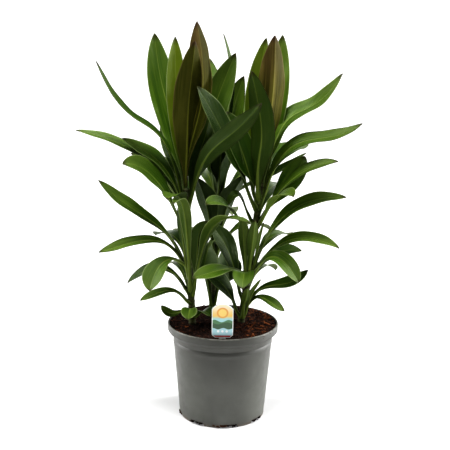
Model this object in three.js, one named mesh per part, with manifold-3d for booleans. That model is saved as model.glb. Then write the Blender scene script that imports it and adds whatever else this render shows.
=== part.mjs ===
import * as THREE from "three";
import { mergeVertices } from "three/addons/utils/BufferGeometryUtils.js";
import Module from "manifold-3d";

// A ti plant: three leafy canes standing in soil in a grey nursery pot, with a plant tag at the rim.
// Millimetres, +Z up. The origin is the middle of the flat underside of the pot, and -Y is the front.

// Pot
const POT_HEIGHT = 165;
const RIM_RADIUS = 95;
const RIM_SKIRT = 12;
const BASE_RADIUS = 73.5;
const COLLAR = { radius: 85.5, low: 131, high: 141 };
const COLLAR_STEP = { width: 1.4, height: 9 };
const FLARE = { radius: 88.2, height: 146 };
const POT_WALL = 1.6;
const FLOOR_THICKNESS = 2;
const GROOVE = { inner: 51, outer: 61, rise: 3, slope: 2 };
const DRAIN_COUNT = 8;
const DRAIN_TURN = THREE.MathUtils.degToRad(-80);
const DRAIN_SIZE = { deep: 13, wide: 29, high: 6, inset: 2 };
const POT_SIDES = 40;
const FOOT_EDGE = 1;
const SKIRT_EDGE = { in: 1.2, half: 1.5 };
const LIP_WIDTH = 2.7;
// The rounded top of the rim: how far in from the rim's outside and down from its top
const LIP_ROUND = [[0, 1.5], [0.8, 0.3], [1.7, 0], [LIP_WIDTH, 0.6]];
// The inside of the wall: its steps sit higher than the outer ones, and its foot slopes in to the floor
const INSIDE = { skirtRise: 2, stepRise: 1, footOut: 0.3, footRise: 3, floorIn: 2 };

// Soil, mounded behind the middle, with a lumpy top
const SOIL_GAP = 0.3;
const SOIL_RIM_HEIGHT = 162.1;
const SOIL_RIM_RADIUS = 91.9;
const SOIL_RINGS = 7;
const MOUND = { x: -5, y: 28, height: 13.4, spread: 38 };
const LUMP = 0.9;
const COARSE_LUMPS = { x: 0.37, y: 0.31, shift: 1.3 };
const FINE_LUMPS = { x: 0.83, y: 0.71, share: 0.6 };
const TOP_TOLERANCE = 0.01;

// Plant tag, leaning out towards the front rim
const TAG_WIDTH = 35;
const TAG_HEIGHT = 60;
const TAG_THICKNESS = 0.9;
const TAG_SHOULDER = 9;
const TAG_CHAMFER = 5;
const STAKE_WIDTH = 11;
const STAKE_LENGTH = 36;
const STAKE_POINT = 9;
const TAG_FOOT = new THREE.Vector3(-0.5, -83.5, 165);
const TAG_LEAN = THREE.MathUtils.degToRad(7);

// Canes: where the middle line crosses the two heights, and how deep the cane stands in its hole
const CANE_SIDES = 8;
const CANE_FOOT_RADIUS = 6.2;
const CANE_TOP_RADIUS = 5;
const CANE_FOOT_HEIGHT = 122;
const HOLE_DEPTH = 90;
const NODE_PITCH = 40;
const NODE_SWELL = 0.5;
const NODE_SHARE = 0.8;
const CANES = {
  left: { low: [-51, -18, 150], top: [-64, -8, 400] },
  right: { low: [29, -8, 150], top: [61, -10, 411] },
  back: { low: [-20, 52, 150], top: [-9, 50, 402] },
};

// Leaf form: a stalk folded like a gutter that opens into a lance-shaped blade. Shares are of its length.
const STALK_SHARE = { low: 0.24, high: 0.05 };
const STALK_HEIGHTS = { from: 340, to: 385 };
const SHEATH_SHARE = 0.12;
const OPENING = { from: 0.12, to: 0.4 };
const TWISTING = { from: 0.05, to: 0.45 };
const THINNING = { from: 0.1, to: 0.5 };
const STALK_HALF_WIDTH = 4.2;
const SHEATH_FLARE = 2.5;
const STALK_FOLD = 42;
const BLADE_FOLD = 18;
const YOUNG_FOLD = 24;
const BLADE_RISE = { low: 1.35, high: 1.05 };
const BLADE_TAPER = 0.8;
const EDGE_THICKNESS = 0.8;
const RIB_THICKNESS = 1.5;
const STALK_THICKNESS = 2.8;
const TIP_HALF_WIDTH = 0.8;
const STEP_LENGTH = 65;
const STEPS = { base: 3, least: 4, most: 8 };
const TIP_EASE = 1.25;
const ROOT_OFFSET = 3.6;
const LEAN_OUT = 9;
const LOWER_PULL = 0.14;
const UPPER_PULL = 0.42;
const SECTION = 6;

// One row for each leaf, in mm and degrees: the height on the cane that it grows from, its tip x, y, z,
// how far the stalk climbs, how far the blade arches over its tip, its sideways bow, its width and its turn.
const LEAVES = {
  left: [
    [178, -20, -50, 190, 10, 15, 0, 32, 0],
    [180, -105, -15, 197, 20, -28, 15, 16, -40],
    [188, -57, -80, 194, 16, 14, 0, 28, 0],
    [200, -140, -30, 210, 40, 15, 0, 20, -25],
    [214, -105, 105, 235, 40, 35, 0, 28, 0],
    [214, -26, -38, 350, 110, -20, -20, 32, -40],
    [216, -165, 5, 230, 55, 45, -5, 24, -30],
    [222, 41, -98, 361, 152, 6, 0, 36, -8],
    [222, -80, -110, 392, 176, 10, 0, 22, 0],
    [244, -75, -40, 375, 60, -60, 0, 22, 0],
    [256, -210, -5, 410, 100, -70, 5, 34, -22],
    [258, -210, -20, 290, 80, 20, 0, 28, -26],
    [262, -120, -75, 240, 30, 55, -25, 40, -18],
    [262, -125, 115, 290, 50, 25, 0, 34, 0],
    [300, -90, 185, 385, 80, 10, 0, 40, 0],
    [324, -165, -50, 445, 60, 5, 0, 52, -35],
    [344, -160, 35, 450, 55, -15, -20, 32, -30],
    [350, -165, 165, 432, 80, -5, 0, 40, -15],
    [350, -170, 0, 480, 105, -30, -5, 34, -25],
    [352, -90, -100, 398, 40, 10, 0, 38, 0],
    [352, -250, 20, 490, 100, -15, 0, 28, -18],
    [359, -210, -5, 605, 210, -155, 20, 26, -9],
    [362, -95, 55, 530, 90, -80, 10, 46, -20],
    [366, 55, -105, 550, 130, -85, -20, 35, -60],
    [370, -24, 10, 525, 110, -80, 0, 40, 30],
    [370, -115, 185, 560, 105, -60, 0, 44, -10],
    [372, 15, 20, 620, 105, -100, 25, 50, 60],
    [372, -120, 45, 650, 165, -130, 15, 50, -40],
    [373, -85, 35, 645, 110, -110, 10, 38, -15],
  ],
  right: [
    [174, 40, -45, 240, 60, -50, 0, 16, 0],
    [176, 62, -30, 250, 55, -30, 0, 18, 0],
    [176, -30, -20, 262, 60, -25, 0, 34, -50],
    [186, 145, 15, 255, 75, -45, -15, 28, 25],
    [192, 105, -15, 190, 40, 15, 0, 22, 28],
    [206, -22, -8, 338, 90, -30, 0, 38, -50],
    [210, 95, 105, 230, 45, 35, 0, 28, 0],
    [232, 30, -105, 255, 35, 30, 0, 38, 0],
    [236, 125, -50, 250, 60, 60, 5, 34, 30],
    [236, 30, -45, 360, 60, -60, 0, 20, 0],
    [238, 65, -20, 345, 60, -60, 0, 20, 10],
    [240, 135, 30, 285, 40, 10, 5, 28, 25],
    [240, 195, -10, 300, 75, 35, 5, 32, 22],
    [240, 50, -45, 355, 60, -60, 0, 20, 0],
    [246, 205, 5, 385, 125, 5, -15, 34, 25],
    [250, -50, -80, 265, 25, 10, 15, 32, -25],
    [250, 125, 120, 290, 50, 30, 0, 34, 0],
    [300, 105, 190, 375, 80, 15, 0, 40, 0],
    [316, -30, -75, 385, 30, 15, 0, 34, -22],
    [330, 110, -75, 400, 35, 15, 5, 40, 15],
    [332, 185, -25, 450, 75, -5, -5, 30, 25],
    [336, 135, 30, 450, 45, -65, -5, 42, 40],
    [340, 5, -30, 375, 30, 45, 0, 20, -20],
    [360, 150, 155, 455, 115, -5, 0, 40, 15],
    [362, -45, -55, 570, 70, -65, -5, 46, -65],
    [366, 225, 0, 510, 165, -55, 0, 36, 25],
    [374, 190, 10, 590, 220, -115, 35, 42, 25],
    [376, 2, -15, 528, 80, -60, -5, 48, -58],
    [377, 80, 185, 550, 100, -60, 0, 44, 10],
    [380, 40, -50, 595, 120, -140, 30, 44, 0],
    [381, 65, 30, 645, 96, -150, 25, 42, 0],
    [383, 93, 46, 650, 120, -125, -5, 46, 25],
  ],
  back: [
    [174, -34, 18, 258, 55, -25, 0, 11, 0],
    [178, 4, 24, 262, 55, -25, 0, 11, 0],
    [215, -15, 170, 215, 40, 40, 0, 28, 0],
    [255, -95, 190, 275, 45, 35, 0, 34, 0],
    [262, -45, 0, 415, 110, -40, 0, 44, 0],
    [270, 85, 175, 290, 45, 35, 0, 34, 0],
    [270, 30, 0, 420, 110, -40, 0, 44, 0],
    [290, 12, 6, 236, 4, 56, 0, 48, 12],
    [290, 15, 230, 305, 60, 40, 0, 38, 0],
    [297, -36, 0, 246, 4, 56, 0, 50, -12],
    [325, -45, 240, 390, 65, 20, 0, 40, 0],
    [345, 95, 225, 400, 70, 15, 0, 40, 10],
    [360, 140, 70, 450, 40, -50, -5, 24, 15],
    [364, 26, 15, 492, 85, -60, 0, 48, 20],
    [370, 45, 205, 530, 95, -40, 0, 44, 10],
    [372, -85, 205, 485, 80, -10, 0, 42, -10],
    [372, -5, 15, 515, 90, -70, 0, 46, 0],
    [376, -35, 45, 500, 90, -70, 0, 40, -30],
    [376, -30, 165, 605, 100, -90, 0, 46, 0],
    [378, 30, 70, 580, 100, -80, 25, 46, 40],
    [380, -5, 75, 650, 120, -105, -34, 24, 85],
  ],
};

// Young leaves, still rolled and bronze, that stand on the top of a cane
const YOUNG_LEAVES = {
  left: [
    [402, -50, -40, 640, 160, -115, -5, 52, 0],
    [402, -49, 10, 670, 120, -160, -50, 60, 0],
  ],
  right: [
    [412, 75, -45, 650, 100, -145, 10, 54, 0],
  ],
};

const COLOURS = {
  pot: { color: 0x6a6b63, roughness: 0.5, metalness: 0 },
  soil: { color: 0x38241a, roughness: 0.95, metalness: 0 },
  tag: { color: 0xe9efe9, roughness: 0.45, metalness: 0 },
  leaf: { color: 0x3a6423, roughness: 0.5, metalness: 0 },
  youngLeaf: { color: 0x5c4629, roughness: 0.5, metalness: 0 },
};

const WELD_DISTANCE = 1e-4;
const UP = new THREE.Vector3(0, 0, 1);
const wasm = await Module();
wasm.setup();

// Turns a closed three.js geometry into a solid for cutting and joining
function toSolid(geometry) {
  const bare = geometry.clone();
  bare.deleteAttribute("normal");
  bare.deleteAttribute("uv");
  const merged = mergeVertices(bare, WELD_DISTANCE);
  const vertProperties = new Float32Array(merged.attributes.position.array);
  const triVerts = new Uint32Array(merged.index.array);
  return new wasm.Manifold(new wasm.Mesh({ numProp: 3, vertProperties, triVerts }));
}

// Turns a solid back into a three.js geometry
function toGeometry(solid) {
  const mesh = solid.getMesh();
  const geometry = new THREE.BufferGeometry();
  geometry.setAttribute("position", new THREE.BufferAttribute(mesh.vertProperties, 3));
  geometry.setIndex(new THREE.BufferAttribute(mesh.triVerts, 1));
  geometry.computeVertexNormals();
  return geometry;
}

// Keeps the body that holds everything together, without loose scraps from cutting
function mainBody(solid) {
  const bodies = solid.decompose();
  bodies.sort((a, b) => b.volume() - a.volume());
  return bodies[0];
}

function material(look) {
  return new THREE.MeshStandardMaterial(look);
}

// Revolves a profile of [radius, height] points about +Z
function revolve(profile, sides) {
  const points = profile.map(([radius, height]) => new THREE.Vector2(radius, height));
  return new THREE.LatheGeometry(points, sides).rotateX(Math.PI / 2);
}

// The inner wall from the rim down to the floor, moved inwards by a gap
function innerProfile(gap) {
  const wall = POT_WALL + gap;
  const floor = FLOOR_THICKNESS + gap;
  const stepFoot = COLLAR.low - COLLAR_STEP.height;
  return [
    [RIM_RADIUS - LIP_WIDTH - gap, POT_HEIGHT - RIM_SKIRT + INSIDE.skirtRise],
    [COLLAR.radius - wall, COLLAR.high + INSIDE.stepRise],
    [COLLAR.radius - wall, COLLAR.low + INSIDE.stepRise],
    [COLLAR.radius - COLLAR_STEP.width - wall, stepFoot + INSIDE.stepRise],
    [BASE_RADIUS - wall + INSIDE.footOut, INSIDE.footRise * floor],
    [BASE_RADIUS - wall - INSIDE.floorIn, floor],
    [GROOVE.outer + GROOVE.slope / 2 + gap, floor],
    [GROOVE.outer - GROOVE.slope / 2 + gap, floor + GROOVE.rise],
    [GROOVE.inner + GROOVE.slope / 2 - gap, floor + GROOVE.rise],
    [GROOVE.inner - GROOVE.slope / 2 - gap, floor],
    [0, floor],
  ];
}

function potOutline() {
  const skirtFoot = POT_HEIGHT - RIM_SKIRT;
  const outside = [
    [0, 0],
    [GROOVE.inner, 0],
    [GROOVE.inner + GROOVE.slope, GROOVE.rise],
    [GROOVE.outer - GROOVE.slope, GROOVE.rise],
    [GROOVE.outer, 0],
    [BASE_RADIUS - FOOT_EDGE, 0],
    [BASE_RADIUS, FOOT_EDGE],
    [COLLAR.radius - COLLAR_STEP.width, COLLAR.low - COLLAR_STEP.height],
    [COLLAR.radius, COLLAR.low],
    [COLLAR.radius, COLLAR.high],
    [FLARE.radius, FLARE.height],
    [RIM_RADIUS - SKIRT_EDGE.in, skirtFoot - SKIRT_EDGE.half],
    [RIM_RADIUS, skirtFoot + SKIRT_EDGE.half],
  ];
  const lip = LIP_ROUND.map(([inwards, down]) => [RIM_RADIUS - inwards, POT_HEIGHT - down]);
  return [...outside, ...lip, ...innerProfile(0)];
}

// A pot with drain slots cut through the foot of its wall
function makePot() {
  let pot = toSolid(revolve(potOutline(), POT_SIDES));
  for (let i = 0; i < DRAIN_COUNT; i += 1) {
    const slot = new THREE.BoxGeometry(DRAIN_SIZE.deep, DRAIN_SIZE.wide, 2 * DRAIN_SIZE.high);
    slot.translate(BASE_RADIUS - DRAIN_SIZE.inset, 0, 0);
    slot.rotateZ(DRAIN_TURN + (i * 2 * Math.PI) / DRAIN_COUNT);
    pot = pot.subtract(toSolid(slot));
  }
  return toGeometry(mainBody(pot));
}

// Height of the soil's top at a place in the pot
function soilHeight(x, y) {
  const away = (x - MOUND.x) ** 2 + (y - MOUND.y) ** 2;
  const mound = MOUND.height * Math.exp(-away / (2 * MOUND.spread ** 2));
  const coarse = Math.sin(COARSE_LUMPS.x * x + COARSE_LUMPS.shift) * Math.cos(COARSE_LUMPS.y * y);
  const fine = FINE_LUMPS.share * Math.sin(FINE_LUMPS.x * x - FINE_LUMPS.y * y);
  return SOIL_RIM_HEIGHT + mound + LUMP * (coarse + fine);
}

// Soil that fills the pot: a revolved body whose top is lifted to the mound
function soilBody() {
  const profile = [];
  for (let i = 0; i <= SOIL_RINGS; i += 1) {
    profile.push([(SOIL_RIM_RADIUS * i) / SOIL_RINGS, POT_HEIGHT]);
  }
  const geometry = revolve([...profile, ...innerProfile(SOIL_GAP)].reverse(), POT_SIDES);
  const position = geometry.attributes.position;
  for (let i = 0; i < position.count; i += 1) {
    if (position.getZ(i) > POT_HEIGHT - TOP_TOLERANCE) {
      position.setZ(i, soilHeight(position.getX(i), position.getY(i)));
    }
  }
  return toSolid(geometry);
}

// Turns and moves a piece made along +Z from the origin so that it follows a cane
function alongCane(geometry, cane) {
  const foot = caneAxis(cane, CANE_FOOT_HEIGHT);
  const direction = caneAxis(cane, cane.top[2]).sub(foot).normalize();
  const turn = new THREE.Quaternion().setFromUnitVectors(UP, direction);
  return geometry.applyQuaternion(turn).translate(foot.x, foot.y, foot.z);
}

function caneAxis(cane, height) {
  const share = (height - cane.low[2]) / (cane.top[2] - cane.low[2]);
  return new THREE.Vector3(...cane.low).lerp(new THREE.Vector3(...cane.top), share);
}

// A tapered cane with a slight swelling at each leaf scar
function caneSolid(cane) {
  const length = caneAxis(cane, cane.top[2]).distanceTo(caneAxis(cane, CANE_FOOT_HEIGHT));
  const profile = [[0, 0]];
  for (let height = 0; height < length - NODE_PITCH / 2; height += NODE_PITCH) {
    const radius = THREE.MathUtils.lerp(CANE_FOOT_RADIUS, CANE_TOP_RADIUS, height / length);
    profile.push([radius, height]);
    profile.push([radius + NODE_SWELL, height + NODE_PITCH * NODE_SHARE]);
  }
  profile.push([CANE_TOP_RADIUS, length], [0, length]);
  return toSolid(alongCane(revolve(profile, CANE_SIDES), cane));
}

// A plain hole in the soil for the foot of a cane
function caneHole(cane) {
  const radius = CANE_FOOT_RADIUS + NODE_SWELL + SOIL_GAP;
  const profile = [[0, -SOIL_GAP], [radius, -SOIL_GAP], [radius, HOLE_DEPTH], [0, HOLE_DEPTH]];
  return toSolid(alongCane(revolve(profile, 2 * CANE_SIDES), cane));
}

// Outline of the tag and its stake, upright, with the foot of the printed face at the origin
function tagGeometry(gap) {
  const half = TAG_WIDTH / 2 + gap;
  const stake = STAKE_WIDTH / 2 + gap;
  const outline = new THREE.Shape();
  outline.moveTo(0, -STAKE_LENGTH - gap);
  outline.lineTo(stake, STAKE_POINT - STAKE_LENGTH - gap);
  outline.lineTo(stake, 0);
  outline.lineTo(half - TAG_CHAMFER, 0);
  outline.lineTo(half, TAG_CHAMFER);
  outline.lineTo(half, TAG_HEIGHT - TAG_SHOULDER);
  outline.quadraticCurveTo(half - 1, TAG_HEIGHT, 0, TAG_HEIGHT);
  outline.quadraticCurveTo(1 - half, TAG_HEIGHT, -half, TAG_HEIGHT - TAG_SHOULDER);
  outline.lineTo(-half, TAG_CHAMFER);
  outline.lineTo(TAG_CHAMFER - half, 0);
  outline.lineTo(-stake, 0);
  outline.lineTo(-stake, STAKE_POINT - STAKE_LENGTH - gap);
  const depth = TAG_THICKNESS + 2 * gap;
  const plate = new THREE.ExtrudeGeometry(outline, { depth, bevelEnabled: false, curveSegments: 8 });
  return plate.translate(0, 0, -depth / 2).rotateX(Math.PI / 2);
}

function placeTag(object) {
  object.position.copy(TAG_FOOT);
  object.rotation.x = TAG_LEAN;
  object.updateMatrix();
}

function makeSoil() {
  let soil = soilBody();
  for (const cane of Object.values(CANES)) {
    soil = soil.subtract(caneHole(cane));
  }
  const slot = new THREE.Object3D();
  placeTag(slot);
  soil = soil.subtract(toSolid(tagGeometry(SOIL_GAP).applyMatrix4(slot.matrix)));
  return toGeometry(mainBody(soil));
}

// Middle line of a leaf: it leaves the cane steeply, then arches out to its tip
function leafLine(cane, row, young) {
  const [height, x, y, z, climb, arch, bow] = row;
  const tip = new THREE.Vector3(x, y, z);
  const root = caneAxis(cane, height);
  const reach = tip.clone().sub(root).setZ(0);
  const outward = reach.clone().normalize();
  const side = UP.clone().cross(outward);
  if (!young) {
    root.addScaledVector(outward, ROOT_OFFSET);
  }
  const lower = root.clone().addScaledVector(reach, LOWER_PULL).addScaledVector(UP, climb);
  lower.addScaledVector(outward, young ? 0 : LEAN_OUT);
  const upper = tip.clone().addScaledVector(reach, -UPPER_PULL).addScaledVector(UP, arch);
  upper.addScaledVector(side, bow);
  return { curve: new THREE.CubicBezierCurve3(root, lower, upper, tip), side };
}

// How far a value is through a stretch, from 0 to 1 with soft ends
function within(value, stretch) {
  return THREE.MathUtils.smoothstep(value, stretch.from, stretch.to);
}

function bladeShape(along, rise) {
  return along ** rise * (1 - along) ** BLADE_TAPER;
}

// Half the width of a leaf at a share of its length. Leaves near the top of a cane have hardly any stalk.
function leafHalfWidth(share, height, width, young) {
  const high = within(height, STALK_HEIGHTS);
  const stalkShare = THREE.MathUtils.lerp(STALK_SHARE.low, STALK_SHARE.high, high);
  const rise = THREE.MathUtils.lerp(BLADE_RISE.low, BLADE_RISE.high, high);
  const along = THREE.MathUtils.clamp((share - stalkShare) / (1 - stalkShare), 0, 1);
  const widest = rise / (rise + BLADE_TAPER);
  const blade = ((width / 2) * bladeShape(along, rise)) / bladeShape(widest, rise);
  const flare = young ? 0 : SHEATH_FLARE * (1 - THREE.MathUtils.smoothstep(share, 0, SHEATH_SHARE));
  const stalk = (STALK_HALF_WIDTH + flare) * Math.sqrt(1 - along);
  return Math.max(Math.hypot(blade, stalk), TIP_HALF_WIDTH);
}

// Six points round the folded section of a leaf: left edge, rib and right edge, above and below
function leafSection(point, along, side, share, row, young) {
  const [width, turn] = row.slice(7);
  const across = side.clone().addScaledVector(along, -side.dot(along)).normalize();
  const face = along.clone().cross(across);
  const twist = THREE.MathUtils.degToRad(turn) * within(share, TWISTING);
  across.applyAxisAngle(along, twist);
  face.applyAxisAngle(along, twist);
  const openFold = young ? YOUNG_FOLD : BLADE_FOLD;
  const degrees = THREE.MathUtils.lerp(STALK_FOLD, openFold, within(share, OPENING));
  const fold = THREE.MathUtils.degToRad(degrees);
  const half = leafHalfWidth(share, row[0], width, young);
  const rib = THREE.MathUtils.lerp(STALK_THICKNESS, RIB_THICKNESS, within(share, THINNING));
  const place = (out, up) => point.clone().addScaledVector(across, out).addScaledVector(face, up);
  const out = half * Math.cos(fold);
  const up = half * Math.sin(fold);
  const inset = EDGE_THICKNESS * Math.sin(fold);
  const drop = EDGE_THICKNESS * Math.cos(fold);
  return [
    place(-out, up),
    place(0, 0),
    place(out, up),
    place(out - inset, up - drop),
    place(0, -rib),
    place(inset - out, up - drop),
  ];
}

// Faces of a strip of sections, split the same way above and below, with both ends closed
function stripFaces(count) {
  const faces = [];
  for (let i = 0; i < count - 1; i += 1) {
    for (let j = 0; j < SECTION; j += 1) {
      const a = SECTION * i + j;
      const b = SECTION * i + ((j + 1) % SECTION);
      if (j === 3 || j === 4) {
        faces.push(b, a, a + SECTION, b, a + SECTION, b + SECTION);
      } else {
        faces.push(b, a, b + SECTION, a, a + SECTION, b + SECTION);
      }
    }
  }
  const end = SECTION * (count - 1);
  const rootCap = [0, 4, 5, 0, 1, 4, 1, 3, 4, 1, 2, 3];
  const tipCap = rootCap.map((corner) => end + corner).reverse();
  return [...faces, ...rootCap, ...tipCap];
}

function leafSolid(cane, row, young = false) {
  const { curve, side } = leafLine(cane, row, young);
  const wanted = Math.round(STEPS.base + curve.getLength() / STEP_LENGTH);
  const steps = THREE.MathUtils.clamp(wanted, STEPS.least, STEPS.most);
  const points = [];
  for (let i = 0; i <= steps; i += 1) {
    const share = 1 - (1 - i / steps) ** TIP_EASE;
    const along = curve.getTangentAt(share);
    points.push(...leafSection(curve.getPointAt(share), along, side, share, row, young));
  }
  const geometry = new THREE.BufferGeometry().setFromPoints(points);
  geometry.setIndex(stripFaces(steps + 1));
  return toSolid(geometry);
}

// A cane with its leaves grown into it
function makeLeafyStem(name) {
  const cane = CANES[name];
  let stem = caneSolid(cane);
  for (const row of LEAVES[name]) {
    stem = stem.add(leafSolid(cane, row));
  }
  return toGeometry(mainBody(stem));
}

function makeYoungLeaves(name) {
  const solids = YOUNG_LEAVES[name].map((row) => leafSolid(CANES[name], row, true));
  return toGeometry(mainBody(solids.reduce((joined, leaf) => joined.add(leaf))));
}

const group = new THREE.Group();

function addPiece(name, geometry, look) {
  const piece = new THREE.Mesh(geometry, material(look));
  piece.name = name;
  group.add(piece);
  return piece;
}

addPiece("pot", makePot(), COLOURS.pot);
addPiece("soil", makeSoil(), COLOURS.soil);
placeTag(addPiece("plant_tag", toGeometry(toSolid(tagGeometry(0))), COLOURS.tag));
for (const name of Object.keys(CANES)) {
  addPiece(`leafy_stem_${name}`, makeLeafyStem(name), COLOURS.leaf);
}
for (const name of Object.keys(YOUNG_LEAVES)) {
  addPiece(`young_leaves_${name}`, makeYoungLeaves(name), COLOURS.youngLeaf);
}

export default group;
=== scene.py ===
# %% [markdown]
# A ti plant in its nursery pot.
# Three leafy canes stand in bark soil in a grey plastic pot, with a plant tag pushed in at the front rim.
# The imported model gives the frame: every piece made here stays where its solid is, and only its surface
# gets finer. Lengths in this lesson are millimetres until a mesh is finished, because a gardener thinks in
# them, and each mesh is scaled to metres once, at its end.

# %% Load the frame
import math
import random

import bmesh
import bpy
from mathutils import Matrix, Quaternion, Vector, noise


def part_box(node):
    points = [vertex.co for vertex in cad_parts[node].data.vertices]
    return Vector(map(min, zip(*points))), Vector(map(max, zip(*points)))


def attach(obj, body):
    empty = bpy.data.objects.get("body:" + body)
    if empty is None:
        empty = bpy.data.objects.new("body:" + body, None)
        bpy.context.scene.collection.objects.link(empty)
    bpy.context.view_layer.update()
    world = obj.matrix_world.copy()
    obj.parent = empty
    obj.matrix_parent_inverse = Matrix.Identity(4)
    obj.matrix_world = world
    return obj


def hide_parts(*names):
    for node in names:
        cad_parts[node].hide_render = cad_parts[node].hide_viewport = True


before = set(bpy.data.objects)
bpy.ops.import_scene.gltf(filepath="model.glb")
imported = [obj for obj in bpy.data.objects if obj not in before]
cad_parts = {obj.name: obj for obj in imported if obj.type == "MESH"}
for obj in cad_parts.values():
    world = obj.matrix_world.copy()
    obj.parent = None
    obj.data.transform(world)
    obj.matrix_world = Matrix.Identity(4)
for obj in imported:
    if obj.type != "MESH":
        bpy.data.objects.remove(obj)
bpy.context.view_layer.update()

MM = 0.001
UP = Vector((0, 0, 1))
pot_low, pot_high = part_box("pot")
POT_HEIGHT = pot_high.z / MM
RIM_RADIUS = (pot_high.x - pot_low.x) / 2 / MM
print(f"frame: {len(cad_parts)} nodes, pot {POT_HEIGHT:.1f} mm high, rim radius {RIM_RADIUS:.1f} mm")

# %% [markdown]
# The camera comes first, because every later choice of detail depends on what it sees.
# It stands a metre and a half in front, as high as the topmost leaf tip, and looks slightly down.
# A long lens keeps the pot's sides nearly parallel. The small roll belongs to the hand that held it.

# %% Camera
EYE = Vector((0.00135, -1.5, 0.6695))
LOOK_DOWN = math.radians(12.56)
ROLL = math.radians(0.79)
LENS = 72.9
SENSOR_WIDTH = 36.0

camera_data = bpy.data.cameras.new("camera")
camera_data.lens = LENS
camera_data.sensor_width = SENSOR_WIDTH
camera = bpy.data.objects.new("camera", camera_data)
bpy.context.scene.collection.objects.link(camera)
facing = Matrix.Rotation(math.pi / 2 - LOOK_DOWN, 4, "X") @ Matrix.Rotation(ROLL, 4, "Z")
camera.matrix_world = Matrix.Translation(EYE) @ facing
bpy.context.scene.camera = camera
print(f"camera: {LENS} mm lens, looking {math.degrees(LOOK_DOWN):.1f} degrees down")

# %% [markdown]
# Most pieces here begin in the same few ways, so those are helpers. A bmesh is built in millimetres and
# scaled when it is done. A round thing is a profile and one spin, which keeps its outline easy to read
# and to change, and the rounded corners of a profile are short arcs.

# %% Mesh helpers
def finish_mesh(bm, name, sharp=None):
    """Scales a finished bmesh to metres, and hands its mesh back with smooth shading."""
    bmesh.ops.scale(bm, vec=(MM, MM, MM), verts=bm.verts)
    mesh = bpy.data.meshes.new(name)
    bm.to_mesh(mesh)
    bm.free()
    mesh.shade_smooth()
    if sharp is not None:
        mesh.set_sharp_from_angle(angle=math.radians(sharp))
    return mesh


def add_piece(name, mesh, materials):
    """Puts a mesh in the scene at the origin, with its materials in order."""
    piece = bpy.data.objects.new(name, mesh)
    bpy.context.scene.collection.objects.link(piece)
    for material in materials:
        mesh.materials.append(material)
    return piece


def spin_profile(bm, profile, steps):
    """Turns an open profile of (radius, height) points once round +Z."""
    verts = [bm.verts.new((radius, 0, height)) for radius, height in profile]
    edges = [bm.edges.new(pair) for pair in zip(verts, verts[1:])]
    bmesh.ops.spin(
        bm, geom=verts + edges, cent=(0, 0, 0), axis=UP, angle=2 * math.pi, steps=steps, use_merge=True
    )
    bmesh.ops.remove_doubles(bm, verts=bm.verts, dist=1e-4)
    bmesh.ops.recalc_face_normals(bm, faces=bm.faces)


def smooth(value, low, high):
    """How far a value is from low to high, as 0 to 1 with soft ends."""
    share = min(max((value - low) / (high - low), 0.0), 1.0)
    return share * share * (3 - 2 * share)


def mix(first, second, share):
    return first + (second - first) * share


def arc(centre, radius, start, end, count):
    """Points (radius, height) on an arc, its angles in degrees."""
    turns = [math.radians(start + (end - start) * i / count) for i in range(count + 1)]
    return [(centre[0] + radius * math.cos(t), centre[1] + radius * math.sin(t)) for t in turns]


print("a quarter circle in two steps:", [(round(x, 1), round(y, 1)) for x, y in arc((0, 0), 10, 0, 90, 2)])

# %% [markdown]
# A finish is a tree of nodes. Written out node by node it would be long and hard to follow, so each helper
# adds one node, links or sets its sockets, and hands back what comes out. A finish then reads like a
# sum: masks from 0 to 1 are worked out, and colours are laid over each other through them.

# %% Shader helpers
def add_node(tree, kind, **settings):
    node = tree.nodes.new(kind)
    for name, value in settings.items():
        setattr(node, name, value)
    return node


def feed(tree, source, socket):
    """Links a socket, or sets a plain value."""
    if isinstance(source, bpy.types.NodeSocket):
        tree.links.new(source, socket)
    else:
        socket.default_value = source


def calc(tree, operation, *values):
    node = add_node(tree, "ShaderNodeMath", operation=operation)
    for value, socket in zip(values, node.inputs):
        feed(tree, value, socket)
    return node.outputs[0]


def vector_calc(tree, operation, *vectors):
    """Like calc, for vectors. A length is a plain value."""
    node = add_node(tree, "ShaderNodeVectorMath", operation=operation)
    for vector, socket in zip(vectors, node.inputs):
        feed(tree, vector, socket)
    return node.outputs["Value" if operation == "LENGTH" else "Vector"]


def split(tree, vector):
    node = add_node(tree, "ShaderNodeSeparateXYZ")
    feed(tree, vector, node.inputs[0])
    return node.outputs


def join(tree, *values):
    node = add_node(tree, "ShaderNodeCombineXYZ")
    for value, socket in zip(values, node.inputs):
        feed(tree, value, socket)
    return node.outputs[0]


def remap(tree, value, low, high, new_low=0.0, new_high=1.0):
    """Turns a range of values into another with soft ends."""
    node = add_node(tree, "ShaderNodeMapRange", interpolation_type="SMOOTHSTEP")
    for source, socket in zip((value, low, high, new_low, new_high), node.inputs):
        feed(tree, source, socket)
    return node.outputs[0]


def band(tree, measure, low, high, most=1.0):
    """A mask that grows from 0 to its most between two places in mm."""
    return remap(tree, measure, low * MM, high * MM, 0.0, most)


def mix_colour(tree, share, first, second, mode="MIX"):
    """Mixes two colours. The node's colour sockets are numbers 6 and 7, and its colour output is number 2."""
    node = add_node(tree, "ShaderNodeMix", data_type="RGBA", blend_type=mode)
    feed(tree, share, node.inputs["Factor"])
    feed(tree, first, node.inputs[6])
    feed(tree, second, node.inputs[7])
    return node.outputs[2]


def lay_over(tree, colour, *layers):
    """Lays colours over a first one, each through its own mask."""
    for mask, tint in layers:
        colour = mix_colour(tree, mask, colour, tint)
    return colour


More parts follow.
